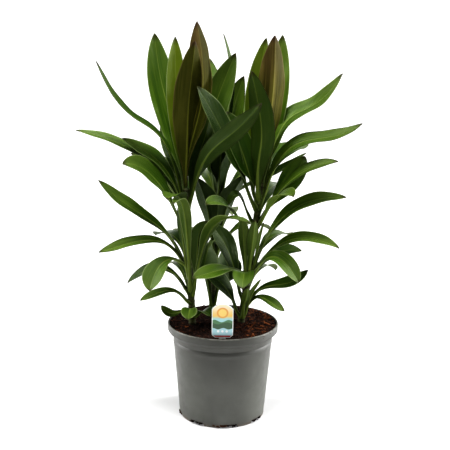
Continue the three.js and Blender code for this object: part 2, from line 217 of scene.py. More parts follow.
def cloud(tree, place, scale, detail=3.0, stretch=(1, 1, 1)):
    """Soft noise from 0 to 1, stretched along the axes."""
    mapping = add_node(tree, "ShaderNodeMapping")
    feed(tree, place, mapping.inputs["Vector"])
    feed(tree, stretch, mapping.inputs["Scale"])
    node = add_node(tree, "ShaderNodeTexNoise")
    feed(tree, mapping.outputs[0], node.inputs["Vector"])
    feed(tree, scale, node.inputs["Scale"])
    feed(tree, detail, node.inputs["Detail"])
    return node.outputs["Fac"]


def srgb(red, green, blue):
    """A colour as a screen shows it, from 0 to 255, made linear for the shader."""
    parts = [c / 255 for c in (red, green, blue)]
    linear = [c / 12.92 if c <= 0.04045 else ((c + 0.055) / 1.055) ** 2.4 for c in parts]
    return (*linear, 1.0)


def paints(**colours):
    """Several colours by name, each as a screen shows it."""
    return {name: srgb(*parts) for name, parts in colours.items()}


print("mid grey for the shader:", round(srgb(128, 128, 128)[0], 3))

# %% [markdown]
# A material here is one Principled shader and what feeds it. Patterns read Object coordinates, which hold
# still because every piece's place is in its mesh, or an attribute where they follow a leaf. What more
# than one material uses is a node group, and a group's sockets are named when it is made.

# %% Material helpers
def new_material(name, roughness, **sockets):
    """A material with one Principled shader. Other sockets are set directly on it."""
    material = bpy.data.materials.new(name)
    material.use_nodes = True
    tree = material.node_tree
    shader = tree.nodes["Principled BSDF"]
    shader.inputs["Roughness"].default_value = roughness
    for label, value in sockets.items():
        shader.inputs[label.replace("_", " ")].default_value = value
    return material, tree, shader.inputs


def own_place(tree):
    return add_node(tree, "ShaderNodeTexCoord").outputs["Object"]


def attribute(tree, name, output="Fac"):
    return add_node(tree, "ShaderNodeAttribute", attribute_name=name).outputs[output]


def add_bump(tree, height, sockets, depth, strength):
    node = add_node(tree, "ShaderNodeBump")
    node.inputs["Strength"].default_value = strength
    node.inputs["Distance"].default_value = depth * MM
    feed(tree, height, node.inputs["Height"])
    feed(tree, node.outputs[0], sockets["Normal"])


def new_group(name, inputs, outputs):
    """An empty node group, with its input and output sockets by name."""
    tree = bpy.data.node_groups.new(name, "ShaderNodeTree")
    for label, kind in inputs.items():
        tree.interface.new_socket(label, in_out="INPUT", socket_type=f"NodeSocket{kind}")
    for label, kind in outputs.items():
        tree.interface.new_socket(label, in_out="OUTPUT", socket_type=f"NodeSocket{kind}")
    given = add_node(tree, "NodeGroupInput").outputs
    wanted = add_node(tree, "NodeGroupOutput").inputs
    return tree, given, wanted


def use_group(tree, group, values):
    node = add_node(tree, "ShaderNodeGroup", node_tree=group)
    for label, value in values.items():
        feed(tree, value, node.inputs[label])
    return node.outputs


WHITE, BLACK = (1, 1, 1, 1), (0, 0, 0, 1)
print("helpers for materials and groups are ready, and so are", {"white": WHITE, "black": BLACK})

# %% [markdown]
# A product studio is a pale floor that curves up into a wall on every side, so that no horizon shows.
# The profile of such a bowl is a straight line and a quarter circle, and one spin round the middle makes
# it a surface. The paper glows a little, more behind the plant than in front of it and less close to the
# pot, so that it stays white in the picture. Only its look matters, and it isn't part of the plant.

# %% Studio floor
FLOOR_RADIUS = 3200
FLOOR_FLAT = 900
FLOOR_STEPS = 96
WALL_BEND = 1600
BEND_STEPS = 16
PAPER_TONES = ((0.64, 0.64, 0.64, 1), (0.66, 0.66, 0.66, 1))
PAPER_GLOW = 0.85
FRONT_GLOW, FRONT_TO_BACK = 0.12, (-1200, 1600)
NEAR_GLOW, NEAR_TO_FAR = 0.3, (150, 2000)

bm = bmesh.new()
bend = arc((FLOOR_RADIUS, WALL_BEND), WALL_BEND, -90, 0, BEND_STEPS)
spin_profile(bm, [(0, 0), (FLOOR_FLAT, 0), *bend], FLOOR_STEPS)
bmesh.ops.reverse_faces(bm, faces=[f for f in bm.faces if f.normal.z < 0])
material, tree, sockets = new_material("studio_paper", 0.85, Emission_Strength=PAPER_GLOW)
place = own_place(tree)
feed(tree, mix_colour(tree, cloud(tree, place, 6.0), *PAPER_TONES), sockets["Base Color"])
behind = remap(tree, split(tree, place)["Y"], *(y * MM for y in FRONT_TO_BACK), FRONT_GLOW, 1.0)
away = remap(tree, vector_calc(tree, "LENGTH", place), *(r * MM for r in NEAR_TO_FAR), NEAR_GLOW, 1.0)
glow = calc(tree, "MULTIPLY", behind, away)
feed(tree, mix_colour(tree, glow, BLACK, WHITE), sockets["Emission Color"])
floor = add_piece("studio_floor", finish_mesh(bm, "studio_floor"), [material])
print(f"floor: a bowl {2 * (FLOOR_RADIUS + WALL_BEND) * MM:.1f} m wide")

# %% [markdown]
# Two tall softboxes at the sides give the pale stripes down both flanks of the pot. A large one overhead
# and in front gives the leaves a broad greyish sheen and leaves the heart of the plant dark, and the leaf
# colours add painted sheen and painted shade to both.
# White surroundings fill in the rest. None of the lamps shows itself to the camera. The picture is
# developed with a little more contrast than plain, so that the greens stay deep.

# %% Lamps
HEART = Vector((0, 0, 0.35))
SOFTBOXES = {
    "overhead": {"place": (-0.25, -0.35, 2.1), "width": 0.9, "height": 0.7, "watts": 50},
    "left_side": {"place": (-1.5, 0.3, 0.8), "width": 0.5, "height": 1.6, "watts": 34},
    "right_side": {"place": (1.5, 0.3, 0.8), "width": 0.5, "height": 1.6, "watts": 58},
}
SURROUNDINGS = 0.12


def add_softbox(name, place, width, height, watts):
    light = bpy.data.lights.new(name, "AREA")
    light.shape = "RECTANGLE"
    light.size = width
    light.size_y = height
    light.energy = watts
    lamp = bpy.data.objects.new(name, light)
    bpy.context.scene.collection.objects.link(lamp)
    lamp.location = place
    lamp.rotation_mode = "QUATERNION"
    lamp.rotation_quaternion = (HEART - Vector(place)).to_track_quat("-Z", "Y")
    lamp.visible_camera = False


for name, softbox in SOFTBOXES.items():
    add_softbox(name, **softbox)
world = bpy.data.worlds.new("surroundings")
world.use_nodes = True
background = world.node_tree.nodes["Background"]
background.inputs["Color"].default_value = WHITE
background.inputs["Strength"].default_value = SURROUNDINGS
bpy.context.scene.world = world
bpy.context.scene.view_settings.view_transform = "Standard"
bpy.context.scene.view_settings.look = "Medium High Contrast"

# %% [markdown]
# Several finishes here are uneven in the same way: plastic, bark, soil and cane all vary slowly in tone.
# That effect is one node group with a scale and two ends, placed in each material with its own values.

# %% Mottle group
NOISE_RANGE = (0.3, 0.7)

MOTTLE, given, wanted = new_group(
    "mottle",
    {"Place": "Vector", "Scale": "Float", "Low": "Float", "High": "Float"},
    {"Value": "Float"},
)
uneven = cloud(MOTTLE, given["Place"], given["Scale"], 4.0)
feed(MOTTLE, remap(MOTTLE, uneven, *NOISE_RANGE, given["Low"], given["High"]), wanted["Value"])


def mottle(tree, place, scale, low, high):
    return use_group(tree, MOTTLE, {"Place": place, "Scale": scale, "Low": low, "High": high})["Value"]


print("group:", MOTTLE.name, [s.name for s in MOTTLE.interface.items_tree])

# %% [markdown]
# The pot is moulded from recycled grey plastic: thin, satin, with a flared lip, a collar with a hairline
# round it and a foot that is notched for drainage. Its outline is one profile with small arcs where
# the mould rounds an edge, and a spin makes the vessel. A profile is easy to read and to change, where
# a stack of scaled cylinders isn't.

# %% Pot outline
WALL = 1.6
BASE_RADIUS = 73.5
FOOT_ROUND = 1.6
COLLAR_LOW = 131
COLLAR_HIGH = 141
COLLAR_RADIUS = 85.5
COLLAR_ROUND = 0.6
STEP_WIDTH = 1.4
STEP_HEIGHT = 9
HAIRLINE_DROP = 2.9
HAIRLINE_SHAPE = ((-0.7, 0), (-0.3, 0.3), (0.3, 0.3), (0.7, 0))
RIM_SKIRT = 12
SKIRT_ROUND = 1.5
LIP_WIDTH = 2.7
LIP_ROUND = 1.3
FLOOR_THICKNESS = 2
GROOVE_INNER = 51
GROOVE_OUTER = 61
GROOVE_RISE = 3
POT_STEPS = 144
POT_SHARP = 38

skirt = POT_HEIGHT - RIM_SKIRT
outside = [
    (0, 0),
    (GROOVE_INNER, 0),
    *arc((GROOVE_INNER + 2, GROOVE_RISE - 1), 1, 170, 90, 3),
    *arc((GROOVE_OUTER - 2, GROOVE_RISE - 1), 1, 90, 10, 3),
    (GROOVE_OUTER, 0),
    *arc((BASE_RADIUS - FOOT_ROUND, FOOT_ROUND), FOOT_ROUND, -90, 0, 4),
    (COLLAR_RADIUS - STEP_WIDTH, COLLAR_LOW - STEP_HEIGHT),
    (COLLAR_RADIUS - 0.35, COLLAR_LOW - 0.9),
    *arc((COLLAR_RADIUS - COLLAR_ROUND, COLLAR_LOW), COLLAR_ROUND, -30, 0, 3),
    *[(COLLAR_RADIUS - deep, COLLAR_HIGH - HAIRLINE_DROP + up) for up, deep in HAIRLINE_SHAPE],
    (COLLAR_RADIUS + 0.4, COLLAR_HIGH + 0.8),
    (COLLAR_RADIUS + 2.4, COLLAR_HIGH + 5),
    (RIM_RADIUS - 3.6, skirt - 3.4),
    (RIM_RADIUS - 1.2, skirt - 1.5),
    *arc((RIM_RADIUS - SKIRT_ROUND, skirt + 0.8), SKIRT_ROUND, -50, 0, 4),
    *arc((RIM_RADIUS - LIP_ROUND, POT_HEIGHT - LIP_ROUND), LIP_ROUND, 0, 90, 6),
]
inside = [
    (RIM_RADIUS - LIP_WIDTH + 0.4, POT_HEIGHT - 0.2),
    (RIM_RADIUS - LIP_WIDTH, POT_HEIGHT - 0.9),
    (RIM_RADIUS - LIP_WIDTH, skirt + 2),
    (COLLAR_RADIUS - WALL, COLLAR_HIGH + 1),
    (COLLAR_RADIUS - WALL, COLLAR_LOW + 1),
    (COLLAR_RADIUS - STEP_WIDTH - WALL, COLLAR_LOW - STEP_HEIGHT + 1),
    (BASE_RADIUS - WALL + 0.3, 3 * FLOOR_THICKNESS),
    (BASE_RADIUS - WALL - 2, FLOOR_THICKNESS),
    (GROOVE_OUTER + 1, FLOOR_THICKNESS),
    (GROOVE_OUTER - 1, FLOOR_THICKNESS + GROOVE_RISE),
    (GROOVE_INNER + 1, FLOOR_THICKNESS + GROOVE_RISE),
    (GROOVE_INNER - 1, FLOOR_THICKNESS),
    (0, FLOOR_THICKNESS),
]

bm = bmesh.new()
spin_profile(bm, outside + inside, POT_STEPS)
pot_mesh = finish_mesh(bm, "pot_body", sharp=POT_SHARP)
print(f"pot: {len(outside + inside)} profile points, {len(pot_mesh.polygons)} faces")

# %% [markdown]
# The drain notches are cut with a Boolean modifier. Each cutter is a cube stretched and rounded at its
# upper corners, as a mould would leave it, and the eight are placed by a loop round the foot. The result
# is then applied, so that no cutter has to stay in the scene.

# %% Drain notches
DRAIN_COUNT = 8
DRAIN_TURN = math.radians(-80)
DRAIN_DEEP = 13
DRAIN_WIDE = 29
DRAIN_HIGH = 6
DRAIN_INSET = 2
DRAIN_CORNER = 2.4


def apply_modifiers(piece):
    """Replaces a piece's mesh with what its modifiers make of it."""
    graph = bpy.context.evaluated_depsgraph_get()
    made = bpy.data.meshes.new_from_object(piece.evaluated_get(graph))
    piece.modifiers.clear()
    piece.data = made


bm = bmesh.new()
for i in range(DRAIN_COUNT):
    turn = Matrix.Rotation(DRAIN_TURN + i * 2 * math.pi / DRAIN_COUNT, 4, "Z")
    place = Matrix.Translation((BASE_RADIUS - DRAIN_INSET, 0, 0))
    size = Matrix.Diagonal((DRAIN_DEEP, DRAIN_WIDE, 2 * DRAIN_HIGH, 1))
    bmesh.ops.create_cube(bm, size=1.0, matrix=turn @ place @ size)
upper = [e for e in bm.edges if all(v.co.z > 0 for v in e.verts)]
corners = [e for e in upper if e.calc_length() < DRAIN_DEEP + 1]
bmesh.ops.bevel(
    bm, geom=corners, offset=DRAIN_CORNER, segments=4, profile=0.5, affect="EDGES", material=-1
)
cutter = add_piece("drain_cutter", finish_mesh(bm, "drain_cutter"), [])
pot = add_piece("nursery_pot", pot_mesh, [])
cut = pot.modifiers.new("drain", "BOOLEAN")
cut.operation = "DIFFERENCE"
cut.solver = "EXACT"
cut.object = cutter
apply_modifiers(pot)
bpy.data.objects.remove(cutter)
pot.data.set_sharp_from_angle(angle=math.radians(POT_SHARP))
print(f"pot with notches: {len(pot.data.polygons)} faces")

# %% [markdown]
# Recycled plastic is never one clean grey. It has faint clouds, darker flecks, flow lines that run
# round the wall, and pale rubs where the lip and the foot touch other pots. The wall also turns a darker
# grey towards the rim, which is painted shade under the lip. The rubs follow the pot's own radius and
# height, so they are masks worked out from Object coordinates. Watering leaves soil dust low on the foot
# and inside the lip.

# %% Pot plastic
PLASTIC = paints(
    dark=(67, 68, 62),
    pale=(76, 77, 71),
    under_rim=(52, 52, 47),
    fleck=(60, 61, 56),
    rubbed=(132, 131, 120),
    dusty=(78, 58, 42),
)

material, tree, sockets = new_material("recycled_grey_plastic", 0.46, Specular_IOR_Level=0.45)
place = own_place(tree)
height = split(tree, place)["Z"]
radius = vector_calc(tree, "LENGTH", vector_calc(tree, "MULTIPLY", place, (1, 1, 0)))

lip = band(tree, height, POT_HEIGHT - 2.4, POT_HEIGHT - 0.4)
foot = band(tree, height, 5, 0.6)
rub = calc(tree, "MULTIPLY", calc(tree, "MAXIMUM", lip, foot), mottle(tree, place, 130.0, 0.0, 1.0))
inner_wall = band(tree, radius, RIM_RADIUS - 2.6, RIM_RADIUS - 4.4)
inner_rim = calc(tree, "MULTIPLY", inner_wall, band(tree, height, POT_HEIGHT - 16, POT_HEIGHT - 10))
dusty = calc(tree, "MAXIMUM", inner_rim, band(tree, height, 9, 1))
colour = lay_over(
    tree,
    mix_colour(tree, mottle(tree, place, 22.0, 0.0, 1.0), PLASTIC["dark"], PLASTIC["pale"]),
    # painted shade: the wall turns a darker grey from its middle up towards the rim
    (band(tree, height, 60, POT_HEIGHT - 20, 0.75), PLASTIC["under_rim"]),
    (remap(tree, cloud(tree, place, 900.0, 1.0), 0.66, 0.72, 0.0, 0.35), PLASTIC["fleck"]),
    (calc(tree, "MULTIPLY", rub, 0.45), PLASTIC["rubbed"]),
    (calc(tree, "MULTIPLY", dusty, mottle(tree, place, 260.0, 0.0, 0.8)), PLASTIC["dusty"]),
)
feed(tree, colour, sockets["Base Color"])
feed(tree, mottle(tree, place, 70.0, 0.42, 0.53), sockets["Roughness"])
flow = cloud(tree, place, 60.0, 3.0, (0.15, 0.15, 4.0))
peel = cloud(tree, place, 700.0, 2.0)
relief = calc(tree, "ADD", flow, calc(tree, "MULTIPLY", peel, 0.35))
add_bump(tree, relief, sockets, 0.22, 0.5)
pot.data.materials.append(material)
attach(pot, "root")
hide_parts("pot")
print("plastic:", material.name, len(tree.nodes), "nodes")

# %% [markdown]
# Potting soil for ti plants is peat with bark and coconut fibre. Its bed is one closed body: a spun
# profile that fits the pot, with many rings on top that are lifted by the same mound as the solid, and
# by a fine fractal for the crumbs. The loose bits that give soil its look lie on it as a piece of their
# own, made in the next steps.

# %% Soil bed
SOIL_GAP = 0.3
SOIL_RIM_HEIGHT = 162.1
SOIL_RIM_RADIUS = 91.9
SOIL_RINGS = 60
MOUND = {"x": -5, "y": 28, "height": 13.4, "spread": 38}
LUMP = 0.9
COARSE_LUMPS = {"x": 0.37, "y": 0.31, "shift": 1.3}
FINE_LUMPS = {"x": 0.83, "y": 0.71, "share": 0.6}
CRUMB = 1.5
CRUMB_SIZE = 7
CRUMB_NOISE = (0.7, 2.1, 4)


def soil_height(x, y):
    """Height of the soil's smooth top at a place in the pot."""
    away = (x - MOUND["x"]) ** 2 + (y - MOUND["y"]) ** 2
    mound = MOUND["height"] * math.exp(-away / (2 * MOUND["spread"] ** 2))
    coarse = math.sin(COARSE_LUMPS["x"] * x + COARSE_LUMPS["shift"]) * math.cos(COARSE_LUMPS["y"] * y)
    fine = FINE_LUMPS["share"] * math.sin(FINE_LUMPS["x"] * x - FINE_LUMPS["y"] * y)
    return SOIL_RIM_HEIGHT + mound + LUMP * (coarse + fine)


def crumbs(x, y):
    """How far the crumbs lift or lower the soil at a place."""
    return CRUMB * noise.fractal(Vector((x, y, 0)) / CRUMB_SIZE, *CRUMB_NOISE)


top = [(SOIL_RIM_RADIUS * i / SOIL_RINGS, POT_HEIGHT) for i in range(SOIL_RINGS + 1)]
under = [(radius - SOIL_GAP, height + SOIL_GAP) for radius, height in inside[3:-1]]
bm = bmesh.new()
spin_profile(bm, top + under + [(0, inside[-1][1] + SOIL_GAP)], POT_STEPS)
for vertex in bm.verts:
    if vertex.co.z > POT_HEIGHT - 0.01:
        x, y, _ = vertex.co
        vertex.co.z = soil_height(x, y) + crumbs(x, y)
soil_mesh = finish_mesh(bm, "soil_bed")
print(f"soil bed: {len(soil_mesh.polygons)} faces, {SOIL_RINGS} rings on top")

# %% [markdown]
# Moist peat is nearly black and hardly shines. A slow mottle and one fine noise are enough for its colour,
# and the same fine noise drives the bump, so that the crumbs that stand up are the paler ones too.

# %% Soil colour
material, tree, sockets = new_material("peat", 0.95, Specular_IOR_Level=0.1)
place = own_place(tree)
fine = cloud(tree, place, 520.0, 5.0)
colour = mix_colour(tree, mottle(tree, place, 60.0, 0.0, 1.0), srgb(17, 9, 7), srgb(32, 18, 12))
colour = mix_colour(tree, remap(tree, fine, 0.5, 0.75), colour, srgb(52, 28, 16))
feed(tree, colour, sockets["Base Color"])
add_bump(tree, fine, sockets, 2.0, 0.8)
soil = add_piece("soil_bed", soil_mesh, [material])
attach(soil, "root")
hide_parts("soil")
print("peat:", len(tree.nodes), "nodes")

# %% [markdown]
# Three kinds of bits lie on the bed. Clods are dark and round, bark chips are flat flakes with broken
# edges, and coir fibres are thin bent hairs. Each has only a few dozen faces, because there are hundreds
# of them. A few models of each kind are made once, and copies are turned and scaled as they fall.

# %% Models of the soil bits
SOIL_SEED = 11
CLOD_JITTER = 0.28
CHIP_SIZE = (2.0, 1.1, 0.34)
CHIP_CORNER = 0.1
CHIP_JITTER = 0.11
FIBRE_RADIUS = 0.05
FIBRE_JOINTS = 6
FIBRE_STEP = 0.33
FIBRE_BEND = 0.09
shake = random.Random(SOIL_SEED)


def jitter(verts, amount):
    for vertex in verts:
        vertex.co += Vector([shake.uniform(-amount, amount) for _ in range(3)])


def clod_model():
    bm = bmesh.new()
    made = bmesh.ops.create_icosphere(bm, subdivisions=1, radius=1.0)
    jitter(made["verts"], CLOD_JITTER)
    return bm


def bark_model():
    bm = bmesh.new()
    bmesh.ops.create_cube(bm, size=1.0, matrix=Matrix.Diagonal((*CHIP_SIZE, 1)))
    bmesh.ops.bevel(
        bm, geom=bm.edges[:], offset=CHIP_CORNER, segments=1, profile=0.5, affect="EDGES", material=-1
    )
    jitter(bm.verts, CHIP_JITTER)
    return bm


def fibre_model():
    bm = bmesh.new()
    bmesh.ops.create_circle(bm, segments=4, radius=FIBRE_RADIUS)
    ring = bm.edges[:]
    lean = Vector((0, 0, 0))
    for _ in range(FIBRE_JOINTS):
        lean += Vector([shake.uniform(-FIBRE_BEND, FIBRE_BEND) for _ in range(2)] + [0])
        made = bmesh.ops.extrude_edge_only(bm, edges=ring)["geom"]
        ring = [part for part in made if isinstance(part, bmesh.types.BMEdge)]
        moved = [part for part in made if isinstance(part, bmesh.types.BMVert)]
        ring = [e for e in ring if all(v in moved for v in e.verts)]
        bmesh.ops.translate(bm, verts=moved, vec=lean + UP * FIBRE_STEP)
    bmesh.ops.holes_fill(bm, edges=bm.edges[:], sides=4)
    bmesh.ops.rotate(bm, verts=bm.verts, matrix=Matrix.Rotation(math.pi / 2, 3, "Y"))
    return bm


def as_mesh(bm):
    mesh = bpy.data.meshes.new("model")
    bmesh.ops.recalc_face_normals(bm, faces=bm.faces)
    bm.to_mesh(mesh)
    bm.free()
    return mesh


MAKERS = {"clod": (clod_model, 5), "bark": (bark_model, 6), "fibre": (fibre_model, 6)}
MODELS = {kind: [as_mesh(make()) for _ in range(count)] for kind, (make, count) in MAKERS.items()}
print("models:", {kind: [len(m.polygons) for m in meshes] for kind, meshes in MODELS.items()})

# %% [markdown]
# The bits fall at random from one seeded draw, so every run gives the same bed. Reddish ones are drawn to
# the right and the front, where watering washes them, and those in the middle, under the plant, are made
# darker as painted shade. Soil has also washed out through the drain notches, so heaps of clods stick in
# them along stretches of the foot.

# %% Scatter the soil bits
BITS = [
    {"kind": "clod", "count": 850, "sizes": (0.9, 2.6), "sink": 0.3, "lean": 1.2, "tones": (0.0, 0.45)},
    {"kind": "bark", "count": 620, "sizes": (1.6, 4.2), "sink": 0.1, "lean": 0.38, "tones": (0.25, 1.0)},
    {"kind": "fibre", "count": 420, "sizes": (3.5, 8.5), "sink": 0.0, "lean": 0.38, "tones": (0.45, 1.0)},
]
BITS_SHARP = 40
SCATTER_RADIUS = 88.5
SETTLE = 0.35
WASHED_TO = (0.75, -0.35)
MIDDLE = (-40, 20)
MIDDLE_EASE = (-10, 30)
# painted shade: the share of its tone that a bit keeps in the middle of the pot, under the plant
PLANT_SHADE_TONE = 0.45
FOOT_BAND = (69.5, 74.6)
FOOT_CLOD_SIZES = (1.0, 2.3)
FOOT_CLOD_RADIUS = 1.3
FOOT_CLOD_TOP = 4.8
FOOT_CLODS = (
    {"from": 187, "to": 203, "count": 26, "tone": 0.35},
    {"from": 225, "to": 243, "count": 16, "tone": 0.05},
    {"from": 258, "to": 276, "count": 34, "tone": 0.45},
    {"from": 276, "to": 292, "count": 14, "tone": 0.05},
    {"from": 316, "to": 333, "count": 18, "tone": 0.0},
)


def fall_place(reddish):
    """A place on the soil. Reddish bits are drawn to the right and the front."""
    while True:
        turn = shake.uniform(0, 2 * math.pi)
        away = SCATTER_RADIUS * math.sqrt(shake.random())
        x, y = away * math.cos(turn), away * math.sin(turn)
        pull = 0.5 + 0.5 * (WASHED_TO[0] * x + WASHED_TO[1] * y) / SCATTER_RADIUS
        if shake.random() < (pull if reddish else 1.0):
            return x, y


def tone_left_in_shade(x):
    """The share of its tone that a bit keeps: least in the middle of the pot, as painted shade under the
    plant.
    """
    outside = smooth(max(x - MIDDLE[1], MIDDLE[0] - x), *MIDDLE_EASE)
    return mix(PLANT_SHADE_TONE, 1.0, outside)


def drop(kind, matrix, tone):
    """Adds a copy of one of a kind's models to the bits."""
    start = len(bm.verts)
    bm.from_mesh(shake.choice(MODELS[kind]))
    bm.verts.ensure_lookup_table()
    fresh = bm.verts[start:]
    bmesh.ops.transform(bm, matrix=matrix, verts=fresh)
    for vertex in fresh:
        vertex[tone_layer] = tone


bm = bmesh.new()
tone_layer = bm.verts.layers.float.new("tone")
for bits in BITS:
    for _ in range(bits["count"]):
        tone = shake.uniform(*bits["tones"])
        x, y = fall_place(tone > 0.5)
        size = mix(*bits["sizes"], shake.random() ** 2)
        turn = Matrix.Rotation(shake.uniform(-bits["lean"], bits["lean"]), 4, "X")
        turn = turn @ Matrix.Rotation(shake.uniform(-bits["lean"], bits["lean"]), 4, "Y")
        turn = turn @ Matrix.Rotation(shake.uniform(0, 2 * math.pi), 4, "Z")
        z = soil_height(x, y) + crumbs(x, y) + SETTLE - bits["sink"] * size
        matrix = Matrix.Translation((x, y, z)) @ turn @ Matrix.Scale(size, 4)
        drop(bits["kind"], matrix, tone * tone_left_in_shade(x))
for heap in FOOT_CLODS:
    for _ in range(heap["count"]):
        turn = math.radians(shake.uniform(heap["from"], heap["to"]))
        away = shake.uniform(*FOOT_BAND)
        size = shake.uniform(*FOOT_CLOD_SIZES)
        z = shake.uniform(FOOT_CLOD_RADIUS * size, FOOT_CLOD_TOP)
        place = (away * math.cos(turn), away * math.sin(turn), z)
        drop("clod", Matrix.Translation(place) @ Matrix.Scale(size, 4), heap["tone"])
bits_mesh = finish_mesh(bm, "soil_bits", sharp=BITS_SHARP)
print(f"soil bits: {len(bits_mesh.polygons)} faces")

# %% [markdown]
# Clods, chips and fibres share one material. Each bit got a tone from 0 to 1 on its points as it fell:
# low is dark peat, the middle is brown bark and high is reddish fibre. One material with such an attribute
# is easier to tune than three.

# %% Bark colour
material, tree, sockets = new_material("bark_and_coir", 0.88, Specular_IOR_Level=0.12)
tone = attribute(tree, "tone")
grain = cloud(tree, own_place(tree), 900.0, 3.0)
colour = lay_over(
    tree,
    mix_colour(tree, remap(tree, tone, 0.1, 0.6), srgb(20, 10, 8), srgb(66, 36, 20)),
    (remap(tree, tone, 0.65, 1.0), srgb(122, 68, 34)),
    (remap(tree, grain, 0.5, 0.75, 0.0, 0.6), srgb(34, 18, 12)),
)
feed(tree, colour, sockets["Base Color"])
add_bump(tree, grain, sockets, 0.5, 0.6)
soil_bits = add_piece("bark_and_fibres", bits_mesh, [material])
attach(soil_bits, "root")
for meshes in MODELS.values():
    for mesh in meshes:
        bpy.data.meshes.remove(mesh)
print("bark:", len(tree.nodes), "nodes")

# %% [markdown]
# The plant tag is a stamped plastic card on a stake. Its outline is drawn as one face from straight
# lines and an arch. An inset makes the white border, so that border and print are separate faces of the
# same card, and an extrusion gives the card its thickness.

# %% Tag card
TAG_WIDTH = 35
TAG_HEIGHT = 60
TAG_THICKNESS = 0.9
TAG_SHOULDER = 9
TAG_CHAMFER = 5
STAKE_WIDTH = 11
STAKE_LENGTH = 36
STAKE_POINT = 9
STAKE_OVERLAP = 0.5
STAKE_THICKNESS = 0.9 * TAG_THICKNESS
TAG_BORDER = 1.3
TAG_FOOT = (-0.5, -83.5, POT_HEIGHT)
TAG_LEAN = math.radians(7)
ARCH_STEPS = 18
ARCH_FULLNESS = 2.6
TAG_SHARP = 30


def arch_points():
    """The arched top of the card from its right shoulder to its left."""
    half = TAG_WIDTH / 2
    low = TAG_HEIGHT - TAG_SHOULDER
    points = []
    for i in range(ARCH_STEPS + 1):
        across = math.cos(math.pi * i / ARCH_STEPS)
        points.append((half * across, low + TAG_SHOULDER * (1 - abs(across) ** ARCH_FULLNESS)))
    return points


half_card = TAG_WIDTH / 2
card = [(TAG_CHAMFER - half_card, 0), (half_card - TAG_CHAMFER, 0), (half_card, TAG_CHAMFER)]
card += arch_points() + [(-half_card, TAG_CHAMFER)]
stake = [
    (0, -STAKE_LENGTH),
    (STAKE_WIDTH / 2, STAKE_POINT - STAKE_LENGTH),
    (STAKE_WIDTH / 2, STAKE_OVERLAP),
    (-STAKE_WIDTH / 2, STAKE_OVERLAP),
    (-STAKE_WIDTH / 2, STAKE_POINT - STAKE_LENGTH),
]


def plate(bm, outline, thickness):
    """A plate with its front face at -Y, from an outline drawn anticlockwise as seen from the front."""
    face = bm.faces.new([bm.verts.new((x, -thickness / 2, z)) for x, z in outline])
    made = bmesh.ops.extrude_face_region(bm, geom=[face], use_keep_orig=True)["geom"]
    back = [part for part in made if isinstance(part, bmesh.types.BMVert)]
    bmesh.ops.translate(bm, verts=back, vec=(0, thickness, 0))
    bmesh.ops.recalc_face_normals(bm, faces=bm.faces)
    return face


bm = bmesh.new()
front = plate(bm, card, TAG_THICKNESS)
bmesh.ops.inset_region(bm, faces=[front], thickness=TAG_BORDER, use_even_offset=True)
front.material_index = 1
plate(bm, stake, STAKE_THICKNESS)
print_uv = bm.loops.layers.uv.new("print")
for face in bm.faces:
    for loop in face.loops:
        loop[print_uv].uv = (loop.vert.co.x / TAG_WIDTH + 0.5, loop.vert.co.z / TAG_HEIGHT)
lean = Matrix.Translation(TAG_FOOT) @ Matrix.Rotation(TAG_LEAN, 4, "X")
bmesh.ops.transform(bm, matrix=lean, verts=bm.verts)
tag_mesh = finish_mesh(bm, "plant_tag_card", sharp=TAG_SHARP)
print(f"tag: {len(tag_mesh.polygons)} faces, {TAG_WIDTH} x {TAG_HEIGHT} mm")

# %% [markdown]
# The print is plain: a warm sky with a low sun, over pale blue with soft hills, then a few round dots and
# a red line at the foot. Each part is a mask worked out from the card's own UV map: a distance makes the
# sun and the dots, and a sine makes the edge of the hills. Mask after mask then lays its ink on.

# %% Tag print
SUN_CENTRE = (0.5, 0.74)
SUN = ((0.27, srgb(226, 160, 70)), (0.19, srgb(240, 206, 110)))
HILLS = (
    {"level": 0.5, "swing": 0.035, "waves": 1.5, "shift": 0.4, "ink": srgb(66, 118, 72)},
    {"level": 0.43, "swing": 0.03, "waves": 1.2, "shift": 2.6, "ink": srgb(34, 80, 40)},
    {"level": 0.27, "swing": 0.02, "waves": 2.0, "shift": 1.1, "ink": srgb(170, 212, 220)},
)
DOT_CENTRES = ((0.3, 0.19), (0.5, 0.19), (0.7, 0.19))
DOT_SIZE = 0.06
DOT_INK = srgb(244, 246, 244)
LINE_INK = srgb(186, 44, 40)
DISC_SOFTNESS = 0.015
HILL_SOFTNESS = 0.008


def disc(tree, across, up, centre, size):
    """1 inside a disc on the card, given in shares of the card's width."""
    dx = calc(tree, "SUBTRACT", across, centre[0])
    dy = calc(tree, "MULTIPLY", calc(tree, "SUBTRACT", up, centre[1]), TAG_HEIGHT / TAG_WIDTH)
    away = vector_calc(tree, "LENGTH", join(tree, dx, dy))
    return remap(tree, away, size + DISC_SOFTNESS, size - DISC_SOFTNESS)


def below_wave(tree, across, up, hill):
    """1 below a wavy line on the card."""
    turn = calc(tree, "MULTIPLY_ADD", across, hill["waves"] * 2 * math.pi, hill["shift"])
    line = calc(tree, "MULTIPLY_ADD", calc(tree, "SINE", turn), hill["swing"], hill["level"])
    return remap(tree, calc(tree, "SUBTRACT", up, line), HILL_SOFTNESS, -HILL_SOFTNESS)


white_card, tree, sockets = new_material("white_card", 0.4)
tint = mottle(tree, own_place(tree), 90.0, 0.0, 1.0)
feed(tree, mix_colour(tree, tint, srgb(226, 230, 226), srgb(238, 240, 238)), sockets["Base Color"])

